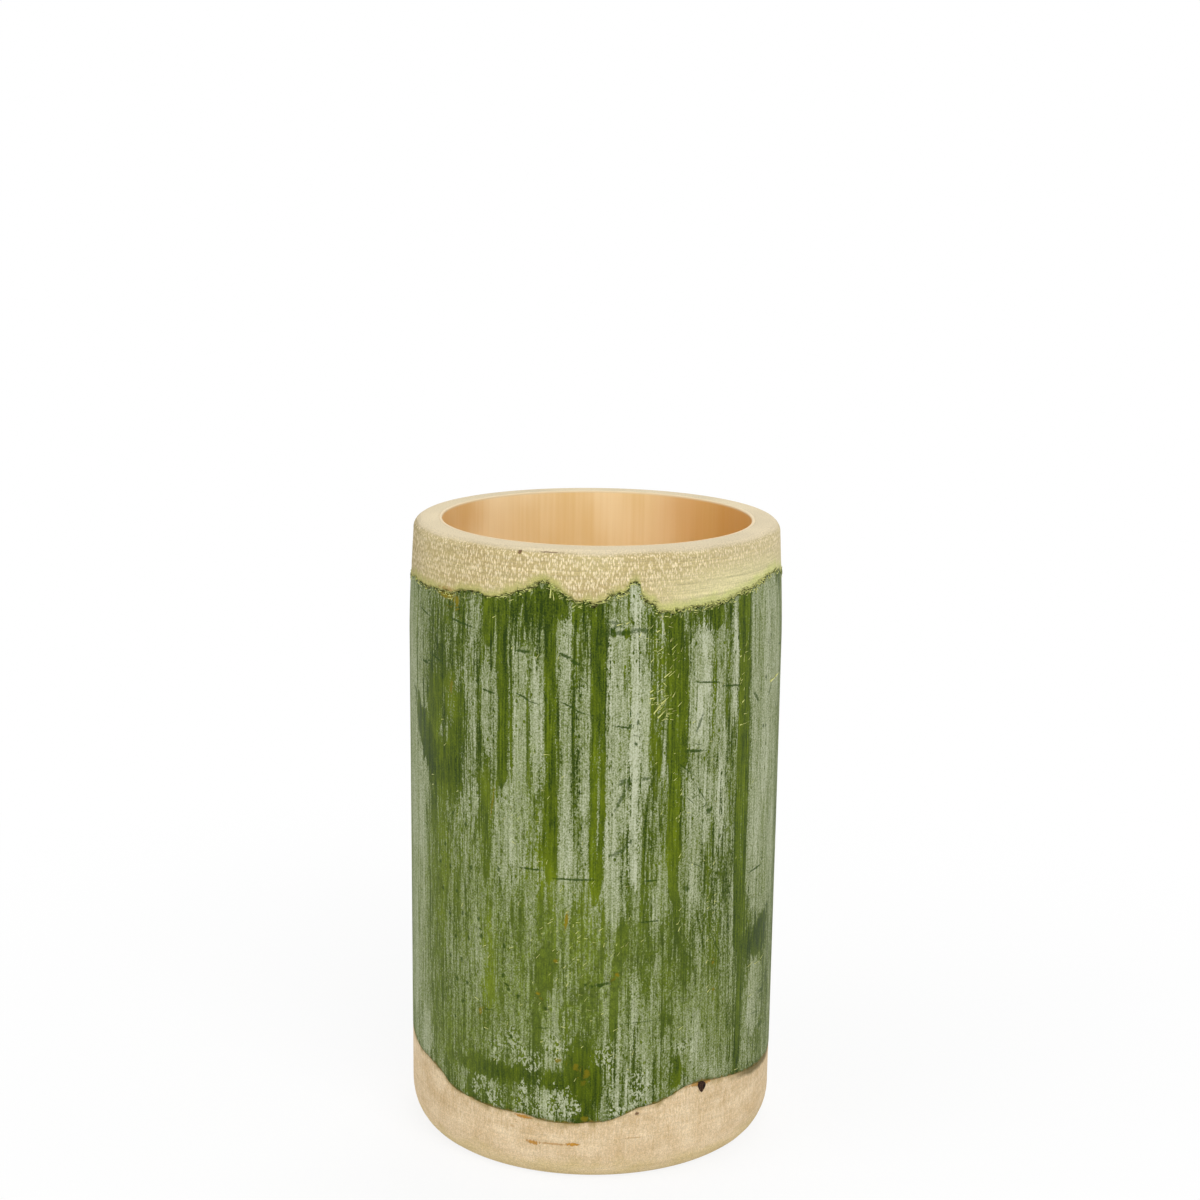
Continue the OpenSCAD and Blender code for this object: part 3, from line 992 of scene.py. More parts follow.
@dataclass
class NodeFloor(TurnedPiece):
    """Diaphragm of the culm's node, which closes the cup's bottom."""

    columns: int = 240
    closed: bool = False
    edge_radius: float = 27.52
    edge_z: float = 11.44
    dish: float = 1.0
    corner_radius: float = 3.4
    foot_z: float = 5.04
    arch: float = 0.8
    outer: float = 31.62
    rows: int = 26
    corner_steps: int = 8
    ridge_height: float = 0.16
    ridge_turn: float = 1.55
    navel_height: float = 0.35
    navel_radius: float = 3.0
    navel_width: float = 2.2
    wander: float = 0.5
    edge_fade: float = 6.0
    under_share: float = 0.5
    growth: Ripple = Ripple(31, 40)

    def ridge(self, radius: float) -> float:
        """Rise of the floor's growth rings at a radius, in millimetres.

        Args:
            radius: the distance from the middle, in millimetres.

        Returns:
            The rise.
        """
        wave = self.ridge_height * radius / self.edge_radius * math.cos(radius * self.ridge_turn)
        navel = math.exp(-((radius - self.navel_radius) / self.navel_width) ** 2)
        return wave + self.navel_height * navel

    def rings(self) -> list[Ring]:
        """Rings from the middle of the floor out, round the corner, down and back in below.

        Returns:
            The rings in order.
        """
        shares = [i / self.rows for i in range(self.rows + 1)]
        edge, corner, bore = self.edge_radius, self.corner_radius, self.culm.foot_bore
        return ([Ring(self.edge_z - self.dish * (1 - s * s)
                      + self.ridge(edge * s) * min(1, self.edge_fade * (1 - s)), edge * s,
                      relief=s)
                 for s in shares]
                + [Ring(self.edge_z + corner * (1 - math.cos(t)), edge + corner * math.sin(t))
                   for t in quarter(self.corner_steps)[1:]]
                + [Ring(z, self.outer) for z in (self.edge_z + corner, self.foot_z)]
                + [Ring(self.foot_z + self.arch * (1 - s * s)
                        - self.under_share * abs(self.ridge(bore * s)) * (1 - s), bore * s)
                   for s in reversed(shares)])

    def unevenness(self, az: Array, z: Array) -> dict[str, Array]:
        """Wandering of the growth rings round the middle."""
        return {"relief": self.wander * self.growth.at(az)}


@dataclass
class BudKnot(Piece):
    """Small dark knot of a branch bud at the rind's foot edge."""

    az: float = 36.0
    width: float = 1.9
    length: float = 2.5
    top_gap: float = 0.4
    flat_top: float = 0.34
    thickness: float = 0.5
    proud: float = 0.3
    segments: int = 18
    seed: int = 8
    pinch: float = 1.4
    jitter: Pair = (-0.1, 0.12)
    softening: float = 0.4
    insets: Rows = ((0.08, 0.1), (0.1, -0.08), (0.1, -0.1))

    def shape(self, bm: BMesh) -> None:
        """Makes the knot: a drop-shaped cap with a dented heart.

        Args:
            bm: the empty bmesh, filled in metres.
        """
        bmesh.ops.create_circle(bm, cap_ends=True, segments=self.segments, radius=0.5)
        rng = Random(self.seed)
        for vertex in bm.verts:
            x, y, _ = vertex.co
            drop = Vector((x * (1 - self.pinch * max(0, -y)), min(y, self.flat_top), 0))
            vertex.co = drop * (1 + rng.uniform(*self.jitter))
        raised = bmesh.ops.extrude_face_region(bm, geom=bm.faces[:])["geom"]
        front = [g for g in raised if isinstance(g, bmesh.types.BMFace)]
        bmesh.ops.translate(bm, verts=list({v for f in front for v in f.verts}), vec=(0, 0, 1))
        for inset, depth in self.insets:
            bmesh.ops.inset_region(bm, faces=front, thickness=inset, depth=depth)
        bmesh.ops.subdivide_edges(bm, edges=bm.edges[:], cuts=1, use_grid_fill=True)
        bmesh.ops.smooth_vert(bm, verts=bm.verts[:], factor=self.softening, use_axis_x=True,
                              use_axis_y=True, use_axis_z=False)
        bmesh.ops.triangulate(bm, faces=bm.faces[:])
        top = float(self.culm.foot_edge(self.az)) + self.top_gap
        for vertex in bm.verts:
            x, y, out = vertex.co
            z = top + (y - 0.5) * self.length
            radius = float(self.culm.skin(z)) - self.thickness + (self.thickness + self.proud) * out
            turn = math.degrees(x * self.width / self.culm.radius)
            vertex.co = self.culm.place(self.az + turn, radius, z)


@dataclass(frozen=True)
class Sliver:
    """Torn fibre: its place, size, the angle that it leans from upright, and its shade."""

    az: float
    z: float
    length: float
    width: float = 0.16
    thickness: float = 0.08
    angle: float = 0.0
    shade: float = 1.0


@dataclass
class Slivers(Piece):
    """Many small torn fibres that lie on the skin, each a thin four-sided wedge.

    Lengths, widths, thicknesses and shades are ranges. The ways that fibres lie are angles
    from upright, each a mean and a spread.
    """

    seed: int = 1
    seat_share: float = 0.3
    seat_gap: float = 0.02
    tip: float = 0.25
    lengths: Pair = (0.3, 1.2)

    def slivers(self, rng: Random) -> list[Sliver]:
        """All the slivers, their chances drawn from the given source.

        Args:
            rng: the source of chance.

        Returns:
            The slivers in order.
        """
        raise NotImplementedError

    def shape(self, bm: BMesh) -> None:
        """Lays every sliver on the skin.

        Args:
            bm: the empty bmesh, filled in metres.
        """
        layer = bm.verts.layers.float.new("shade")
        for one in self.slivers(Random(self.seed)):
            out = (float(self.culm.skin(one.z)) + self.seat_share * one.thickness
                   + self.seat_gap)
            turn = Matrix.Rotation(math.radians(one.az), 4, "Z")
            tilt = Matrix.Rotation(math.radians(one.angle), 4, "Y")
            halves = Vector((one.width, one.thickness, one.length)) * MM / 2
            seat = Matrix.Translation(self.culm.place(0, out, one.z))
            form = turn @ seat @ tilt @ Matrix.Diagonal((*halves, 1))
            made = bmesh.ops.create_cone(bm, cap_ends=True, segments=4, radius1=1,
                                         radius2=self.tip, depth=2, matrix=form)
            for vertex in made["verts"]:
                vertex[layer] = one.shade


@dataclass
class TornRim(Slivers):
    """Chips and fibres torn up where the grinding stopped at the rind's upper edge."""

    count: int = 1500
    seed: int = 5
    widths: Pair = (0.1, 0.26)
    thicknesses: Pair = (0.06, 0.2)
    shades: Pair = (0.2, 1.0)
    upright: Pair = (0.0, 18.0)
    lying: Pair = (90.0, 20.0)
    upright_share: float = 0.12
    drop: float = 0.12
    spread: float = 0.18
    crowd_spread: float = 0.3
    thin: float = 0.16
    crowds: tuple[Cloud, ...] = each(Cloud, (
        (-23, 0, 6, 1, 0.4), (-9, 0, 6, 1, 0.7), (6, 0, 4, 1, 0.9), (18, 0, 5, 1, 0.7),
        (32, 0, 9, 1, 0.4), (54, 0, 12, 1, 0.7), (-50, 0, 5, 1, 0.3), (96, 0, 12, 1, 0.6),
        (140, 0, 14, 1, 0.5), (185, 0, 10, 1, 0.8), (222, 0, 12, 1, 0.5), (262, 0, 9, 1, 0.4)))

    def slivers(self, rng: Random) -> list[Sliver]:
        """Chips crowd the edge, thicker in some stretches than in others.

        Args:
            rng: the source of chance.

        Returns:
            The slivers in order.
        """
        made = []
        while len(made) < self.count:
            az = rng.uniform(0, FULL_TURN)
            crowd = self.thin + sum(float(cloud.at(az, 0.0)) for cloud in self.crowds)
            if rng.uniform() > crowd:
                continue
            spread = self.spread + self.crowd_spread * min(crowd, 1)
            z = float(self.culm.rim_edge(az)) + rng.normal(-self.drop, spread)
            way = self.upright if rng.uniform() < self.upright_share else self.lying
            angle = rng.normal(*way)
            made.append(Sliver(az, z, rng.uniform(*self.lengths), rng.uniform(*self.widths),
                               rng.uniform(*self.thicknesses), angle, rng.uniform(*self.shades)))
        return made


@dataclass
class RindNicks(Slivers):
    """Bright nicks that tools left in the rind.

    A cluster's row holds its azimuth, height, spread round, spread in height and count.
    """

    seed: int = 9
    widths: Pair = (0.1, 0.2)
    thickness: float = 0.08
    shades: Pair = (0.4, 1.0)
    slanting: Pair = (40.0, 18.0)
    lying: Pair = (90.0, 14.0)
    slant_share: float = 0.7
    edge_gap: float = 1.0
    singles: tuple[Sliver, ...] = each(Sliver, (
        (18.6, 96, 2.4, 0.3, 0.24, 42), (19.4, 94.6, 1.6, 0.34, 0.24, 46),
        (20.6, 97.4, 1.9, 0.28, 0.24, 50), (17, 98, 1.3, 0.3, 0.24, 84),
        (17.6, 95.2, 0.7, 0.36, 0.2, 30), (21.4, 102.4, 1.9, 0.26, 0.2, 54),
        (16.6, 99.4, 0.8, 0.3, 0.2, 60), (23.4, 98.4, 1.2, 0.2, 0.2, 30),
        (18.4, 110.8, 0.8, 0.3, 0.08, 60), (7, 112.3, 1.2, 0.22, 0.08, 72),
        (9.4, 112.6, 0.9, 0.22, 0.08, 60), (22.6, 102.4, 1.5, 0.16, 0.08, 55),
        (23.4, 107.6, 1.6, 0.14, 0.08, 48), (25.4, 96.4, 1.2, 0.14, 0.08, 44),
        (48, 103.7, 0.5, 0.34, 0.08, 70), (49.6, 103.2, 1.6, 0.16, 0.08, 4),
        (48.8, 98.9, 0.5, 0.24, 0.08, 60), (50, 97, 0.6, 0.22, 0.08, 20),
        (49.8, 94.6, 0.8, 0.34, 0.08, 60), (49, 90, 0.8, 0.3, 0.08, 90),
        (51, 90, 1.4, 0.1, 0.08, 90, 0.7), (69, 96.3, 3.4, 0.5, 0.2, 88),
        (74, 96.5, 3, 0.4, 0.2, 90, 0.9), (-51.5, 90, 0.8, 0.16, 0.08, 80),
        (-57, 78, 1, 0.16, 0.08, 80, 0.8), (-57, 76, 0.8, 0.16, 0.08, 70, 0.8),
        (-44.5, 76.6, 0.6, 0.16, 0.08, 60), (-44.5, 72, 0.6, 0.16, 0.08, 60, 0.8),
        (-30.6, 112.4, 0.9, 0.16, 0.08, 60), (-24.5, 107, 0.7, 0.16, 0.08, 30),
        (-10.4, 105.8, 0.7, 0.16, 0.08, 20), (37, 54.6, 0.8, 0.16, 0.08, 60),
        (37, 43.6, 0.9, 0.2, 0.08, 30), (37.9, 37.4, 0.9, 0.2, 0.08, 50),
        (58, 39.2, 2.4, 0.14, 0.08, 80, 0.8), (62.6, 38.6, 2.6, 0.16, 0.08, 94),
        (67, 39, 2.2, 0.14, 0.08, 76, 0.8), (59, 32.5, 2.2, 0.12, 0.08, 86, 0.8),
        (-13, 118.2, 2.4, 0.34, 0.4, 4), (-12.2, 117.4, 1.6, 0.2, 0.3, -8),
        (-33.6, 46.8, 0.9, 0.18, 0.08, 60), (-10, 26, 0.5, 0.18, 0.08, 30),
        (56.4, 77.6, 0.8, 0.16, 0.08, 40, 0.8), (25, 74, 0.5, 0.16, 0.08, 30)))
    clusters: Rows = (
        (22, 101, 3, 6, 34), (19.6, 97, 1.6, 2, 22), (17, 111, 4, 1.6, 12), (26, 84, 2, 5, 9),
        (-9, 47, 8, 8, 34), (2, 38, 8, 6, 16), (-20, 66, 12, 10, 14), (50, 100, 1.2, 6, 8),
        (37, 50, 2, 8, 12), (28, 60, 2, 8, 8), (-36, 55, 8, 14, 8), (-8, 56, 9, 6, 12),
        (34, 80, 8, 14, 10), (10, 30, 20, 10, 12), (0, 60, 36, 30, 26), (150, 96, 9, 9, 34),
        (212, 70, 14, 22, 24), (110, 60, 12, 24, 18), (180, 40, 40, 20, 24))

    def slivers(self, rng: Random) -> list[Sliver]:
        """The single nicks and those of the clusters, most of them slanting.

        Args:
            rng: the source of chance.

        Returns:
            The slivers in order.
        """
        made = list(self.singles)
        for middle, height, spread_az, spread_z, count in self.clusters:
            for _ in range(int(count)):
                way = self.slanting if rng.uniform() < self.slant_share else self.lying
                angle = rng.normal(*way)
                az = middle + rng.normal() * spread_az
                low = float(self.culm.foot_edge(az)) + self.edge_gap
                top = float(self.culm.rim_edge(az)) - self.edge_gap
                z = min(max(height + rng.normal() * spread_z, low), top)
                made.append(Sliver(az, z, rng.uniform(*self.lengths), rng.uniform(*self.widths),
                                   self.thickness, angle, rng.uniform(*self.shades)))
        return made


# Building node trees


class Graph:
    """Node tree under construction; plain values set sockets, sockets are linked."""

    def __init__(self, tree: bpy.types.NodeTree) -> None:
        """Starts on a tree, emptied, with nothing to read the surface's place from.

        Args:
            tree: the node tree to fill.
        """
        self.tree = tree
        self.place: Socket | None = None
        tree.nodes.clear()

    def feed(self, socket: Socket, value: object) -> None:
        """Links a socket to another one, or sets its value.

        Args:
            socket: the input socket.
            value: a value or a socket.
        """
        if isinstance(value, Socket):
            self.tree.links.new(value, socket)
        else:
            socket.default_value = value

    def node(self, kind: str, inputs: dict | None = None, **settings: object) -> bpy.types.Node:
        """Adds a node.

        Args:
            kind: the node's type without its ShaderNode prefix.
            inputs: values or sockets by input name or number.
            settings: the node's own properties.

        Returns:
            The node.
        """
        made = self.tree.nodes.new(kind if kind.startswith("Node") else "ShaderNode" + kind)
        for name, value in settings.items():
            setattr(made, name, value)
        for key, value in (inputs or {}).items():
            self.feed(made.inputs[key], value)
        return made

    def maths(self, operation: str, *values: object, clamp: bool = False) -> Socket:
        """Result of one Math node."""
        made = self.node("Math", dict(enumerate(values)), operation=operation, use_clamp=clamp)
        return made.outputs[0]

    def add(self, *values: object) -> Socket:
        """Sum of several values."""
        return reduce(lambda a, b: self.maths("ADD", a, b), values)

    def times(self, *values: object) -> Socket:
        """Product of several values."""
        return reduce(lambda a, b: self.maths("MULTIPLY", a, b), values)

    def hypot(self, a: Socket, b: Socket) -> Socket:
        """Root of the sum of two squares."""
        return self.maths("SQRT", self.add(self.times(a, a), self.times(b, b)))

    def fit(self, value: object, low: float, high: float, start: float = 0, end: float = 1,
            smooth: bool = True) -> Socket:
        """Maps low..high to start..end and clamps, eased if smooth.

        Args:
            value: the value or socket.
            low, high, start, end: the two ranges.
            smooth: whether it is eased.

        Returns:
            The mapped value.
        """
        made = self.node("MapRange", dict(enumerate((value, low, high, start, end))), clamp=True,
                         interpolation_type="SMOOTHSTEP" if smooth else "LINEAR")
        return made.outputs[0]

    def blend(self, share: object, a: object, b: object, mode: str = "MIX") -> Socket:
        """Colour a turned into colour b by a share."""
        return self.node("Mix", {0: share, 6: a, 7: b}, data_type="RGBA", blend_type=mode,
                         clamp_factor=True).outputs[2]

    def between(self, share: object, a: object, b: object) -> Socket:
        """Value a turned into value b by a share."""
        return self.node("Mix", {0: share, 2: a, 3: b}, clamp_factor=True).outputs[0]

    def over(self, colour: object, *layers: tuple) -> Socket:
        """Colour with layers laid over it, each a colour and the shares that multiply up.

        Args:
            colour: the colour below.
            layers: the layers, lowest first.

        Returns:
            The colour.
        """
        for tint, *shares in layers:
            colour = self.blend(self.times(*shares), colour, tint)
        return colour

    def toned(self, colour: Socket, level: Socket) -> Socket:
        """Colour multiplied by a level."""
        grey = self.node("CombineColor", {0: level, 1: level, 2: level}).outputs[0]
        return self.blend(1.0, colour, grey, "MULTIPLY")

    def parts(self, vector: Socket) -> list[Socket]:
        """X, Y and Z of a vector."""
        return list(self.node("SeparateXYZ", {0: vector}).outputs)

    def carried(self, name: str, output: str = "Fac") -> Socket:
        """Attribute that the mesh carries."""
        return self.node("Attribute", attribute_name=name).outputs[output]

    def carried_parts(self, name: str) -> list[Socket]:
        """The three values of an attribute that the mesh carries."""
        return self.parts(self.carried(name, "Vector"))

    def shared(self, effect: "Effect", **inputs: object) -> list[Socket]:
        """Outputs of a shared effect on the surface's place, its inputs named in small letters.

        Args:
            effect: the effect.
            inputs: its values or sockets.

        Returns:
            The sockets in order.
        """
        made = self.node("Group", node_tree=effect.tree())
        for name, value in {"vector": self.place, **inputs}.items():
            self.feed(made.inputs[name.capitalize()], value)
        return list(made.outputs)

    def fibres(self, across: float, along: float, seed: float) -> Socket:
        """Noise from 0 to 1, its grain this wide and this long in millimetres."""
        return self.shared(FIBRES, across=across, along=along, seed=seed)[0]

    def noises(self, **grains: tuple[float, float, float]) -> dict[str, Socket]:
        """Fibre noises by name, each of a width, a length and a seed."""
        return {name: self.fibres(*grain) for name, grain in grains.items()}

    def band(self, gap: Socket, width: float, ragged: float, soft: float,
             grain: float = 2.4) -> Socket:
        """Mask of a ragged band along an edge, its sizes in millimetres."""
        return self.shared(RAGGED, gap=gap, width=width, ragged=ragged, soft=soft, grain=grain)[0]

    def swing(self, value: Socket, amount: float) -> Socket:
        """Noise from 0 to 1 turned into a swing about zero, half the amount each way."""
        return self.times(self.maths("SUBTRACT", value, 0.5), amount)

    def swung(self, start: object, noises: dict[str, Socket], **amounts: float) -> Socket:
        """Start value plus a swing of each noise that is named with an amount."""
        return self.add(start, *(self.swing(noises[name], a) for name, a in amounts.items()))

    def scaled_place(self, given: dict[str, Socket]) -> Socket:
        """Place measured in an effect's cells, Across wide and Along long.

        Args:
            given: the effect's input sockets by name.

        Returns:
            The vector.
        """
        across, along = (self.maths("DIVIDE", 1 / MM, given[name]) for name in ("Across", "Along"))
        scale = self.node("CombineXYZ", {0: across, 1: across, 2: along}).outputs[0]
        return self.node("VectorMath", {0: given["Vector"], 1: scale},
                         operation="MULTIPLY").outputs[0]


@dataclass(frozen=True)
class Effect:
    """Effect on the surface's place that several finishes share, as a node group."""

    name: str
    work: Callable[[Graph, dict[str, Socket]], tuple[Socket, ...]]
    inputs: dict[str, float]
    outputs: tuple[str, ...] = ("Mask",)

    def tree(self) -> bpy.types.NodeTree:
        """The group, made the first time it is asked for.

        Returns:
            The node tree.
        """
        known = bpy.data.node_groups.get(self.name)
        if known:
            return known
        tree = bpy.data.node_groups.new(self.name, "ShaderNodeTree")
        tree.interface.new_socket(name="Vector", in_out="INPUT", socket_type="NodeSocketVector")
        for name, value in self.inputs.items():
            socket = tree.interface.new_socket(name=name, in_out="INPUT",
                                               socket_type="NodeSocketFloat")
            socket.default_value = value
        for name in self.outputs:
            tree.interface.new_socket(name=name, in_out="OUTPUT", socket_type="NodeSocketFloat")
        graph = Graph(tree)
        given = graph.node("NodeGroupInput").outputs
        made = self.work(graph, {name: given[name] for name in ("Vector", *self.inputs)})
        graph.node("NodeGroupOutput", dict(zip(self.outputs, made)))
        return tree


def stretched_noise(graph: Graph, given: dict[str, Socket]) -> tuple[Socket, ...]:
    """Noise drawn out: wide across the culm and long along it, stretched to 0..1.

    Args:
        graph: the group's tree.
        given: its input sockets by name.

    Returns:
        The group's outputs in order.
    """
    seed = given["Seed"]
    shift = graph.node("CombineXYZ", {0: seed, 1: seed, 2: seed}).outputs[0]
    place = graph.node("VectorMath", {0: graph.scaled_place(given), 1: shift},
                       operation="ADD").outputs[0]
    noise = graph.node("TexNoise", {"Vector": place, "Scale": 1.0, "Detail": 2.0,
                                    "Roughness": 0.55}).outputs[0]
    level = graph.swing(noise, given["Contrast"])
    return (graph.maths("ADD", level, 0.5, clamp=True),)


def specks(graph: Graph, given: dict[str, Socket]) -> tuple[Socket, ...]:
    """Scattered specks: round cores of a share of the cells of a drawn-out cell pattern.

    Args:
        graph: the group's tree.
        given: its input sockets by name.

    Returns:
        The group's outputs in order.
    """
    cells = graph.node("TexVoronoi", {"Vector": graph.scaled_place(given), "Scale": 1.0}).outputs
    red, green, _ = graph.parts(cells["Color"])
    size = graph.times(given["Size"], graph.fit(green, 0, 1, 0.5, 1.2, smooth=False))
    core = graph.fit(graph.maths("SUBTRACT", size, cells["Distance"]), -0.05, 0.12)
    return (graph.times(core, graph.maths("LESS_THAN", red, given["Share"])),)


def ragged_band(graph: Graph, given: dict[str, Socket]) -> tuple[Socket, ...]:
    """One at an edge, falling to zero past the band's width along a ragged line.

    Args:
        graph: the group's tree.
        given: its input sockets by name.

    Returns:
        The group's outputs in order.
    """
    scale = graph.maths("DIVIDE", 1 / MM, given["Grain"])
    noise = graph.node("TexNoise", {"Vector": given["Vector"], "Scale": scale,
                                    "Detail": 3.0}).outputs[0]
    reach = graph.add(given["Width"], graph.times(graph.swing(noise, 4.0), given["Ragged"]))
    inside = graph.maths("DIVIDE", graph.maths("SUBTRACT", reach, given["Gap"]), given["Soft"])
    return (graph.fit(inside, -0.5, 0.5),)


def bundle_dashes(graph: Graph, given: dict[str, Socket]) -> tuple[Socket, ...]:
    """Cut ends of the fibre bundles in ground timber: short pale dashes with their own shades.

    Args:
        graph: the group's tree.
        given: its input sockets by name.

    Returns:
        The group's outputs in order.
    """
    cells = graph.node("TexVoronoi", {"Vector": graph.scaled_place(given), "Scale": 1.0,
                                      "Randomness": 0.8}).outputs
    return graph.fit(cells["Distance"], 0.58, 0.27), graph.parts(cells["Color"])[0]


FIBRES = Effect("stretched_noise", stretched_noise,
                {"Across": 1.0, "Along": 10.0, "Seed": 0.0, "Contrast": 2.6}, ("Value",))
SPECKS = Effect("specks", specks, {"Across": 1.0, "Along": 1.5, "Size": 0.3, "Share": 0.5})
RAGGED = Effect("ragged_band", ragged_band,
                {"Gap": 0.0, "Width": 1.0, "Ragged": 0.5, "Soft": 0.3, "Grain": 2.4})
DASHES = Effect("bundle_dashes", bundle_dashes, {"Across": 0.5, "Along": 1.2}, ("Mask", "Shade"))


# Finishes


@dataclass(frozen=True)
class Finish:
    """Finish of one sort of surface.

    The relief's depth is in millimetres.
    """

    name: str
    specular: float = 0.5
    relief_depth: float = 0.05
    relief_strength: float = 0.5

    def make(self) -> Material:
        """The material, a Principled shader that the finish's own nodes feed.

        Returns:
            The material.
        """
        material = bpy.data.materials.new(self.name)
        material.use_nodes = True
        graph = Graph(material.node_tree)
        graph.place = graph.node("TexCoord").outputs["Object"]
        colour, relief, roughness = self.dress(graph)
        bump = graph.node("Bump", {"Height": relief, "Distance": self.relief_depth * MM,
                                   "Strength": self.relief_strength}).outputs[0]
        shader = graph.node("BsdfPrincipled", {
            "Base Color": colour, "Roughness": roughness, "Normal": bump,
            "Specular IOR Level": self.specular}).outputs[0]
        graph.node("OutputMaterial", {"Surface": shader})
        return material

    def dress(self, graph: Graph) -> Dressed:
        """Adds the nodes that make the surface's colour, relief and roughness.

        Args:
            graph: the material's tree.

        Returns:
            The colour, the relief's height and the roughness.
        """
        raise NotImplementedError

    def mark_masks(self, graph: Graph) -> tuple[Socket, Socket]:
        """Mask of the mesh's marks, and one of those among them that are stains.

        Args:
            graph: the material's tree.

        Returns:
            Both masks.
        """
        along, across, near = graph.carried_parts("mark")
        reach = graph.add(graph.hypot(along, across), graph.swing(graph.fibres(0.5, 0.5, 0), 0.9))
        mask = graph.times(graph.fit(reach, 1.35, 0.6), near)
        return mask, graph.times(mask, graph.carried("mark_kind"))


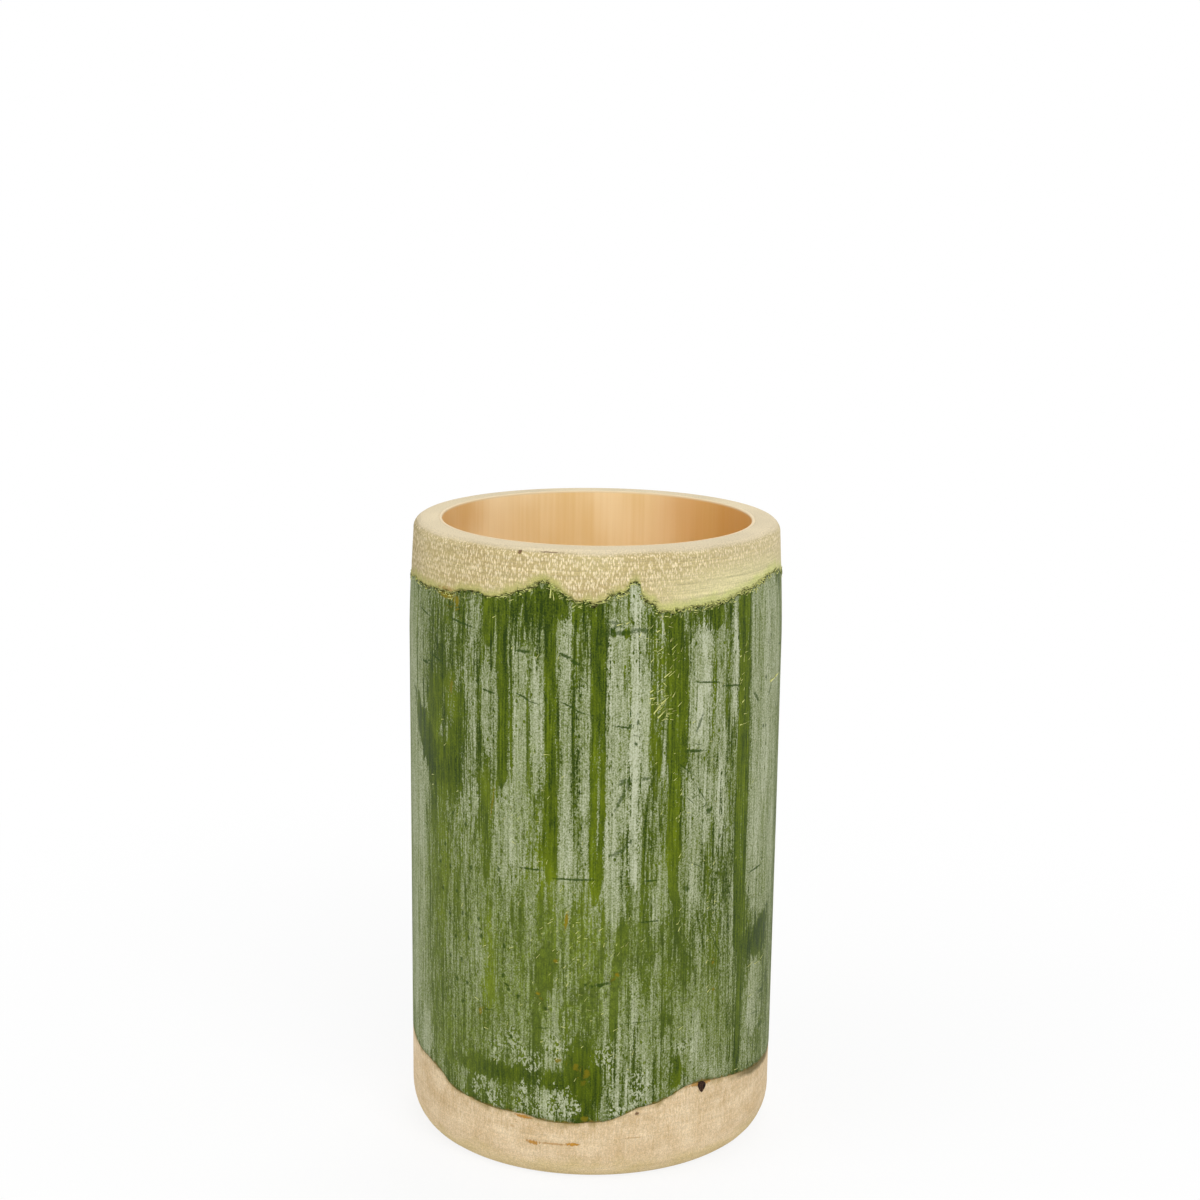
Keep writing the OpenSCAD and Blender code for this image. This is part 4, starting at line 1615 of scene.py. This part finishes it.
@dataclass(frozen=True)
class RindFinish(Finish):
    """Green culm skin under a worn coat of pale wax."""

    name: str = "waxed_green_rind"
    specular: float = 0.12
    bare_dark: Colour = srgb(36, 54, 0)
    bare_light: Colour = srgb(97, 114, 10)
    # painted shade below the rind's torn upper edge
    bare_patch: Colour = srgb(42, 58, 4)
    thin_coat: Colour = srgb(100, 113, 55)
    thick_coat: Colour = srgb(187, 191, 164)
    dull_green: Colour = srgb(107, 122, 46)
    yellow: Colour = srgb(120, 136, 4)
    stain: Colour = srgb(142, 124, 16)
    scratch: Colour = srgb(42, 64, 0)
    chip: Colour = srgb(196, 202, 110)
    # painted shade of the split along the rind's torn upper edge
    edge: Colour = srgb(54, 56, 4)
    foot_edge: Colour = srgb(122, 100, 42)
    cover: float = 0.59
    bare_rough: float = 0.5
    wax_rough: float = 0.75

    def coat(self, graph: Graph) -> tuple[Socket, Socket, Socket]:
        """Where the wax lies, how thick it is, and how pale the bare skin is.

        Args:
            graph: the material's tree.

        Returns:
            The cover, crisp at its borders, and the two tones, all from 0 to 1.
        """
        bare, wax, patch = graph.carried_parts("streaks")
        thick, mottled, worn = graph.carried_parts("coats")
        noise = graph.noises(
            broad=(3, 60, 3), middle=(1, 26, 5), haze=(12, 26, 13), fine=(0.42, 6, 7),
            line=(0.3, 20, 8), grain=(0.3, 0.4, 9), grit=(0.27, 0.32, 10), blot=(1.5, 2.6, 11),
            holes=(0.6, 0.8, 14), flecks=(0.6, 1.4, 12))
        rough = graph.swung(0.0, noise, fine=0.4, grain=0.6)

        def mask(inside: Socket, torn: float, low: float, high: float, **amounts: float) -> Socket:
            """Mask of the forms that an attribute is inside of, its border torn by noise."""
            level = graph.swung(graph.add(inside, graph.times(rough, torn)), noise, **amounts)
            return graph.fit(level, low, high)

        bare_mask = mask(bare, 1, -0.14, 0.14)
        wax_mask = mask(wax, 1.4, -0.4, 0.4, middle=0.6)
        patch_mask = mask(patch, 1.5, -0.4, 0.5, middle=2, blot=1)
        mottle_mask = mask(mottled, 1.6, -0.4, 0.5, blot=2.4)
        level = graph.add(self.cover, graph.carried_parts("growth")[0], graph.times(wax_mask, 0.26),
                          graph.times(graph.fit(noise["line"], 0.72, 0.9), -0.34))
        level = graph.swung(level, noise, broad=0.3, middle=0.3, fine=0.4, grain=0.46, line=0.24,
                            flecks=0.2, haze=0.16)
        for form, share, start, amounts in (
                (mask(worn, 1.4, -0.3, 0.5, middle=0.8), 0.8, 0.36,
                 {"grain": 0.46, "fine": 0.5, "line": 0.3, "flecks": 0.3}),
                (patch_mask, 0.95, 0.12, {"grain": 0.5, "flecks": 0.3}),
                (bare_mask, 1, 0.12, {"middle": 0.26, "fine": 0.36, "grain": 0.5}),
                (mottle_mask, 0.9, 0.47, {"grain": 0.9, "holes": 1.6, "fine": 0.3})):
            level = graph.between(graph.times(form, share), level,
                                  graph.swung(start, noise, **amounts))
        rubbed = graph.shared(SPECKS, across=0.7, along=1.1, size=0.36, share=0.16)[0]
        cover = graph.fit(graph.add(level, graph.times(rubbed, -0.5)), 0.34, 0.66)
        wax_tone = graph.add(0.2, graph.times(mask(thick, 1.6, -0.5, 0.5), 0.34),
                             graph.times(mottle_mask, 0.5), graph.times(wax_mask, 0.2))
        wax_tone = graph.swung(wax_tone, noise, haze=0.26, broad=0.24, middle=0.2, fine=0.3,
                               grit=0.9, flecks=0.14, line=0.5)
        border = graph.times(graph.fit(bare, 0.7, 0.1), bare_mask)
        bare_tone = graph.add(0.44, graph.times(border, -0.2), graph.times(patch_mask, -0.26))
        bare_tone = graph.swung(bare_tone, noise, middle=0.44, fine=0.5, line=0.5, haze=0.3,
                                blot=0.2, grit=0.6)
        return cover, wax_tone, bare_tone

    def dress(self, graph: Graph) -> Dressed:
        """Wax over bare skin, then stains, scratches and both edges, with painted shade along the
        torn upper edge.

        Args:
            graph: the material's tree.

        Returns:
            The colour, the relief's height and the roughness.
        """
        cover, wax_tone, bare_tone = self.coat(graph)
        _, dull, yellowing = graph.carried_parts("growth")
        rim_gap, foot_gap, _ = graph.carried_parts("gaps")
        noise = graph.noises(slow=(5, 12, 21), quick=(0.9, 4, 22), broken=(0.7, 0.6, 23),
                             small=(0.3, 0.36, 31), large=(0.8, 1.3, 32))
        tinge = graph.swung(yellowing, noise, slow=0.6, quick=0.6)
        skin = graph.over(graph.blend(bare_tone, self.bare_dark, self.bare_light),
                          (self.yellow, tinge, 0.5))
        wax = graph.over(graph.blend(wax_tone, self.thin_coat, self.thick_coat),
                         (self.yellow, tinge, 0.2))
        colour = graph.over(graph.blend(cover, skin, wax), (self.dull_green, dull, 0.5))
        mottle = graph.swung(0.0, noise, small=0.6, large=0.5)
        colour = graph.toned(colour, graph.add(1.0, graph.times(dull, mottle)))
        marks, stains = self.mark_masks(graph)
        # band under the torn upper edge, where painted shade and bright torn chips lie
        near_rim = graph.band(rim_gap, 0.5, 0.5, 0.6, 1.2)
        # painted shade: a thin dark broken line at the rind's torn upper edge
        rim_crack_shade = graph.band(rim_gap, 0.04, 0.3, 0.12, 0.7)
        colour = graph.over(
            colour, (self.scratch, marks, 0.9), (self.stain, stains, 0.75),
            # painted shade: dark green, broken, in a band just below the torn upper edge
            (self.bare_patch, near_rim, graph.fit(noise["broken"], 0.2, 0.6), 0.5),
            (self.edge, rim_crack_shade, graph.fit(noise["broken"], 0.5, 0.66), 0.9),
            (self.chip, graph.shared(SPECKS, across=0.62, along=0.4, size=0.5, share=0.34)[0],
             near_rim),
            (self.bare_dark, graph.band(foot_gap, 0.4, 0.6, 1.5, 1.8), 0.7),
            (self.foot_edge, graph.band(foot_gap, 0.16, 0.5, 0.7, 1.4), 0.75))
        relief = graph.add(graph.times(cover, 0.8), graph.times(wax_tone, 0.5),
                           graph.times(marks, -0.8))
        return colour, relief, graph.between(cover, self.bare_rough, self.wax_rough)


@dataclass(frozen=True)
class TimberFinish(Finish):
    """Ground timber: pale bundle ends, grinding lines and the green fringe under the rind."""

    name: str = "ground_culm_timber"
    specular: float = 0.15
    relief_depth: float = 0.06
    rim_ground: Colour = srgb(177, 158, 110)
    rim_ground_pale: Colour = srgb(186, 171, 122)
    rim_dash: Colour = srgb(233, 217, 180)
    # painted sheen over the rim's stretch of polish
    rim_polished: Colour = srgb(210, 202, 154)
    # painted light: a paler tone on the rim's right-hand side
    rim_bleached: Colour = srgb(204, 190, 148)
    # painted shade: colour that darkens the rim towards its left-hand silhouette
    rim_tanned: Colour = srgb(140, 124, 84)
    lip: Colour = srgb(222, 207, 176)
    foot_ground: Colour = srgb(194, 166, 123)
    foot_dash: Colour = srgb(227, 206, 172)
    fringe: Colour = srgb(176, 174, 100)
    bright_fringe: Colour = srgb(190, 194, 118)
    deep_fringe: Colour = srgb(120, 128, 40)
    # painted shade in the split under the rind's torn upper edge
    crack: Colour = srgb(62, 56, 0)
    # partly painted soft shadow under the rind's foot edge, partly the timber's own brown at the
    # cut
    brown_line: Colour = srgb(134, 114, 50)
    olive_edge: Colour = srgb(84, 74, 28)
    stain: Colour = srgb(188, 136, 54)
    dark_stain: Colour = srgb(92, 58, 34)
    low_yellow: Colour = srgb(212, 198, 140)

    def rim(self, graph: Graph, height: Socket, dashes: Socket, polished: Socket) -> Socket:
        """Colour of the ground rim: its dashes, painted light on its right side, painted shade at
        its left edge, its stretch of polish with painted sheen, and the smooth lip.

        Args:
            graph: the material's tree.
            height: height in metres.
            dashes, polished: their masks.

        Returns:
            The colour.
        """
        cloud, side = graph.fibres(16, 6, 7), graph.parts(graph.place)[0]
        level = graph.add(height, graph.swing(cloud, 0.5 * MM))
        return graph.over(
            graph.blend(cloud, self.rim_ground, self.rim_ground_pale),
            # painted light, paling the rim towards its right-hand side
            (self.rim_bleached, graph.fit(side, 10 * MM, 34 * MM, 0, 0.6)),
            # painted shade, darkening the rim towards its left-hand silhouette
            (self.rim_tanned, graph.fit(side, -31 * MM, -37.5 * MM, 0, 0.6)),
            # painted sheen over the rim's stretch of polish
            (self.rim_polished, polished, 0.8), (self.rim_dash, dashes),
            (self.lip, graph.fit(level, 124.9 * MM, 125.8 * MM, 0, 0.85)))

    def foot(self, graph: Graph, height: Socket, dashes: Socket) -> Socket:
        """Colour of the ground foot, yellower towards the ground.

        Args:
            graph: the material's tree.
            height: height in metres.
            dashes: their mask.

        Returns:
            The colour.
        """
        noise = graph.noises(fibre=(0.4, 2.6, 5), cloud=(14, 2.2, 17), wash=(5, 4, 18),
                             stroke=(0.34, 1.5, 19))
        strokes = graph.times(graph.swing(noise["stroke"], 0.5), graph.fit(height, 6 * MM, 11 * MM))
        share = graph.swung(graph.add(0.5, graph.times(dashes, 0.16), strokes), noise, fibre=0.3,
                            cloud=0.3, wash=0.5)
        low = graph.fit(graph.swung(height, noise, wash=3 * MM), 6 * MM, 1.5 * MM, 0, 0.4)
        return graph.over(graph.blend(share, self.foot_ground, self.foot_dash),
                          (self.low_yellow, low))

    def dress(self, graph: Graph) -> Dressed:
        """Rim and foot bands each with their own tone, then edges with painted shade, and stains;
        painted sheen on the rim's polish.

        Args:
            graph: the material's tree.

        Returns:
            The colour, the relief's height and the roughness.
        """
        rim_gap, foot_gap, worked = graph.carried_parts("gaps")
        height = graph.parts(graph.place)[2]
        noise = graph.noises(lines=(20, 0.3, 3), broken=(0.7, 0.6, 23), grit=(0.24, 0.3, 24),
                             sheen=(9, 0.34, 33))
        upper = graph.fit(height, 60 * MM, 61 * MM)
        below = graph.maths("SUBTRACT", 1.0, upper)
        # the rim's stretch of polish, brightened by painted sheen
        polished = graph.times(worked, upper)
        reach = graph.add(rim_gap, graph.times(polished, -0.5))
        greening = graph.times(graph.band(reach, 1.3, 0.8, 2.0, 3.4), upper, 0.7)
        plain = [graph.between(mask, 1.0, 0.0) for mask in (graph.times(polished, 0.85), greening)]
        ends, shade = graph.shared(DASHES, across=0.33, along=0.98)
        dashes = graph.times(ends, graph.fit(shade, 0, 1, 0.55, 1, smooth=False),
                             graph.fit(height, 125.2 * MM, 125.9 * MM, 1, 0.1), *plain)
        # painted shade: a dark broken line in the split under the rind's torn edge
        crack = graph.times(graph.band(rim_gap, 0.0, 0.28, 0.1, 0.7),
                            graph.fit(noise["broken"], 0.5, 0.66), upper)
        marks, stains = self.mark_masks(graph)
        colour = graph.over(
            graph.blend(upper, self.foot(graph, height, dashes),
                        self.rim(graph, height, dashes, polished)),
            # the green fringe is brighter in the stretch of polish: a painted highlight
            (graph.blend(polished, self.fringe, self.bright_fringe), greening),
            (self.deep_fringe, graph.band(rim_gap, 0.3, 0.5, 0.5, 1.2), upper, 0.45),
            (self.crack, crack, 0.95),
            # painted soft shadow under the rind's foot edge, over the timber's brown at the cut
            (self.brown_line, graph.band(foot_gap, 0.3, 0.7, 1.9, 1.8), below, 0.75),
            (self.olive_edge, graph.band(foot_gap, 1.3, 0.3, 1.0), below, worked, 0.8),
            (self.dark_stain, marks, 0.85), (self.stain, stains))
        level = graph.add(1.0, graph.swing(noise["lines"], graph.between(upper, 0.1, 0.18)),
                          graph.swing(noise["grit"], 0.36),
                          graph.times(polished, graph.swing(noise["sheen"], 0.26)))
        relief = graph.add(graph.times(dashes, 0.5), graph.times(noise["lines"], 0.5),
                           graph.times(crack, -0.8))
        return graph.toned(colour, level), relief, 0.75


@dataclass(frozen=True)
class LiningFinish(Finish):
    """Warm smooth inside of the culm."""

    name: str = "warm_pith_lining"
    specular: float = 0.2
    relief_depth: float = 0.02
    relief_strength: float = 0.3
    pale: Colour = srgb(252, 226, 179)
    warm: Colour = srgb(234, 199, 136)
    # painted shade of the bore's side walls, a dark orange
    deep: Colour = srgb(208, 147, 60)
    lip: Colour = srgb(228, 209, 172)

    def dress(self, graph: Graph) -> Dressed:
        """Soft upright fibres, with painted shade on both side walls of the bore, most on the
        right, cream at the lip.

        Args:
            graph: the material's tree.

        Returns:
            The colour, the relief's height and the roughness.
        """
        side, _, height = graph.parts(graph.place)
        broad, fine, cloud = graph.noises(broad=(9, 90, 2), fine=(0.8, 30, 4),
                                          cloud=(16, 30, 6)).values()
        level = graph.add(graph.times(broad, 0.22), graph.times(fine, 0.16),
                          graph.times(cloud, 0.5), 0.07)
        turned = graph.add(side, graph.swing(cloud, 8 * MM))
        colour = graph.over(
            graph.blend(graph.fit(level, 0.1, 0.9), self.warm, self.pale),
            # painted shade on the bore's right-hand wall, and less on its left-hand wall
            (self.deep, graph.fit(turned, 4 * MM, 28 * MM, 0, 0.8)),
            (self.deep, graph.fit(turned, -18 * MM, -31 * MM, 0, 0.45)),
            (self.lip, graph.fit(height, 125.4 * MM, 125.95 * MM)))
        return colour, graph.add(fine, broad), 0.6


@dataclass(frozen=True)
class FloorFinish(Finish):
    """Woody diaphragm with growth rings and freckles."""

    name: str = "woody_node_floor"
    relief_depth: float = 0.12
    relief_strength: float = 0.6
    pale: Colour = srgb(218, 186, 138)
    dark: Colour = srgb(158, 118, 70)
    freckle: Colour = srgb(108, 74, 40)

    def dress(self, graph: Graph) -> Dressed:
        """Rings round the axis, broken by clouds and freckles.

        Args:
            graph: the material's tree.

        Returns:
            The colour, the relief's height and the roughness.
        """
        x, y, _ = graph.parts(graph.place)
        cloud, fibre = graph.fibres(6, 6, 5), graph.fibres(0.6, 0.6, 8)
        radius = graph.hypot(x, y)
        turns = graph.add(graph.times(radius, 4.4 / MM), graph.times(cloud, 7.0))
        wave = graph.maths("SINE", turns)
        level = graph.add(0.5, graph.times(wave, 0.12), graph.times(cloud, 0.35),
                          graph.times(fibre, 0.2), graph.times(radius, -0.014 / MM))
        freckles = graph.shared(SPECKS, across=1.6, along=1.6, size=0.3, share=0.3)[0]
        colour = graph.over(graph.blend(graph.fit(level, 0.1, 0.95), self.dark, self.pale),
                            (self.freckle, freckles, 0.6))
        return colour, graph.add(graph.times(wave, 0.5), fibre), 0.7


@dataclass(frozen=True)
class KnotFinish(Finish):
    """Charred-looking wood of the dead bud."""

    name: str = "dark_bud_knot"
    specular: float = 0.2
    relief_depth: float = 0.1
    relief_strength: float = 0.8
    dark: Colour = srgb(38, 24, 16)
    brown: Colour = srgb(88, 56, 36)

    def dress(self, graph: Graph) -> Dressed:
        """Nearly black with brown fibres."""
        fibre = graph.fibres(0.25, 0.6, 3)
        return graph.blend(graph.fit(fibre, 0.4, 1), self.dark, self.brown), fibre, 0.85


@dataclass(frozen=True)
class FibreFinish(Finish):
    """Torn fibres, from olive to bright yellow-green."""

    name: str = "torn_green_fibres"
    dull: Colour = srgb(84, 84, 22)
    bright: Colour = srgb(220, 222, 134)

    def dress(self, graph: Graph) -> Dressed:
        """Each sliver has its own shade, uneven along it.

        Args:
            graph: the material's tree.

        Returns:
            The colour, the relief's height and the roughness.
        """
        fibre = graph.fibres(0.3, 0.5, 6)
        level = graph.fit(graph.add(graph.carried("shade"), graph.swing(fibre, 0.4)), 0.1, 0.95)
        return graph.blend(level, self.dull, self.bright), fibre, 0.6


# Studio


@dataclass(frozen=True)
class Lamp:
    """Square soft lamp."""

    name: str
    place: Point
    size: float
    power: float


@dataclass
class Studio:
    """White floor, soft lamps and the camera at the photograph's angle."""

    camera_place: Point = (0.8, -445.2, 205.5)
    camera_pitch: float = 12.244
    camera_roll: float = 0.7
    lens: float = 67.8
    sensor: float = 36.0
    clip: Pair = (0.01, 100.0)
    world_level: float = 0.5
    floor_size: float = 12000.0
    floor_drop: float = 0.05
    floor_grey: Colour = (0.92, 0.92, 0.92, 1)
    shadow_reach: Pair = (40.0, 260.0)
    shadow_glow: float = 0.84
    aim: Point = (0, 0, 60)
    lamps: tuple[Lamp, ...] = (
        Lamp("key_lamp", (420, -900, 760), 700, 7.0),
        Lamp("left_lamp", (-900, -500, 620), 700, 3.6),
        Lamp("back_lamp", (200, 900, 900), 800, 4.4))

    def set_world(self) -> None:
        """White to the camera, softer on the object."""
        world = bpy.data.worlds.new("white_studio")
        world.use_nodes = True
        graph = Graph(world.node_tree)
        rays = graph.node("LightPath").outputs
        indirect = graph.maths("MAXIMUM", rays["Is Glossy Ray"], rays["Is Transmission Ray"])
        seen = graph.maths("MAXIMUM", rays["Is Camera Ray"], indirect)
        level = graph.fit(seen, 0, 1, self.world_level, 1.0, smooth=False)
        light = graph.node("Background", {"Color": WHITE, "Strength": level})
        graph.node("OutputWorld", {"Surface": light.outputs[0]})
        bpy.context.scene.world = world

    def lay_floor(self) -> None:
        """White floor that keeps the cup's shadow close to the cup."""
        material = bpy.data.materials.new("studio_floor")
        material.use_nodes = True
        graph = Graph(material.node_tree)
        start, end = self.shadow_reach
        away = graph.node("VectorMath", {0: graph.node("TexCoord").outputs["Object"]},
                          operation="LENGTH").outputs["Value"]
        share = graph.times(graph.node("LightPath").outputs["Is Camera Ray"],
                            graph.fit(away, start * MM, end * MM, self.shadow_glow, 1))
        matt = graph.node("BsdfDiffuse", {"Color": self.floor_grey}).outputs[0]
        glow = graph.node("Emission", {"Color": WHITE, "Strength": 1.0}).outputs[0]
        mixed = graph.node("MixShader", {0: share, 1: matt, 2: glow}).outputs[0]
        graph.node("OutputMaterial", {"Surface": mixed})
        bm = bmesh.new()
        bmesh.ops.create_grid(bm, x_segments=1, y_segments=1, size=self.floor_size / 2 * MM)
        bmesh.ops.translate(bm, verts=bm.verts, vec=(0, 0, -self.floor_drop * MM))
        floor = put_mesh("studio_floor", bm, material)

    def hang_lamps(self) -> None:
        """Large soft lamps that look at the middle of the cup."""
        for lamp in self.lamps:
            data = bpy.data.lights.new(lamp.name, "AREA")
            data.shape, data.size, data.energy = "SQUARE", lamp.size * MM, lamp.power
            gaze = Vector(self.aim) * MM - Vector(lamp.place) * MM
            self.stand(put(lamp.name, data), lamp.place, gaze.to_track_quat("-Z", "Y"))

    def place_camera(self) -> None:
        """Camera as the photograph saw the front cup."""
        data = bpy.data.cameras.new("studio_camera")
        data.lens, data.sensor_width = self.lens, self.sensor
        data.clip_start, data.clip_end = self.clip
        camera = put("studio_camera", data)
        turned = (Matrix.Rotation(math.radians(90 - self.camera_pitch), 4, "X")
                  @ Matrix.Rotation(math.radians(self.camera_roll), 4, "Z"))
        self.stand(camera, self.camera_place, turned.to_quaternion())
        bpy.context.scene.camera = camera
        bpy.context.scene.view_settings.view_transform = "Standard"

    def stand(self, thing: Object, place: Point, turn: Quaternion) -> None:
        """Puts a lamp or the camera at a place in millimetres, turned.

        Args:
            thing: the lamp or the camera.
            place: where it stands.
            turn: how it is turned.
        """
        thing.location = Vector(place) * MM
        thing.rotation_mode = "QUATERNION"
        thing.rotation_quaternion = turn

    def build(self) -> None:
        """Sets up the whole studio."""
        self.place_camera()
        self.set_world()
        self.lay_floor()
        self.hang_lamps()


def main() -> None:
    """Builds the studio and the cup."""
    logging.basicConfig(level=logging.INFO, format="%(name)s %(message)s")
    Studio().build()
    culm = Culm()
    rind, fibres = RindFinish().make(), FibreFinish().make()
    CulmWall(culm, "culm_timber_wall", Slot.TIMBER, Node.WALL).build(TimberFinish().make())
    GreenRind(culm, "green_rind_skin", Slot.RIND, Node.RIND).build(rind)
    PithLining(culm, "pith_lining_skin", Slot.LINING, Node.LINING).build(LiningFinish().make())
    NodeFloor(culm, "node_floor", Slot.FLOOR, Node.FLOOR).build(FloorFinish().make())
    BudKnot(culm, "bud_knot_wood", Slot.KNOT, Node.KNOT).build(KnotFinish().make())
    TornRim(culm, "torn_rim_fibres", Slot.RIND).build(fibres)
    RindNicks(culm, "rind_nicks", Slot.RIND).build(fibres)


if __name__ == "__main__":
    main()
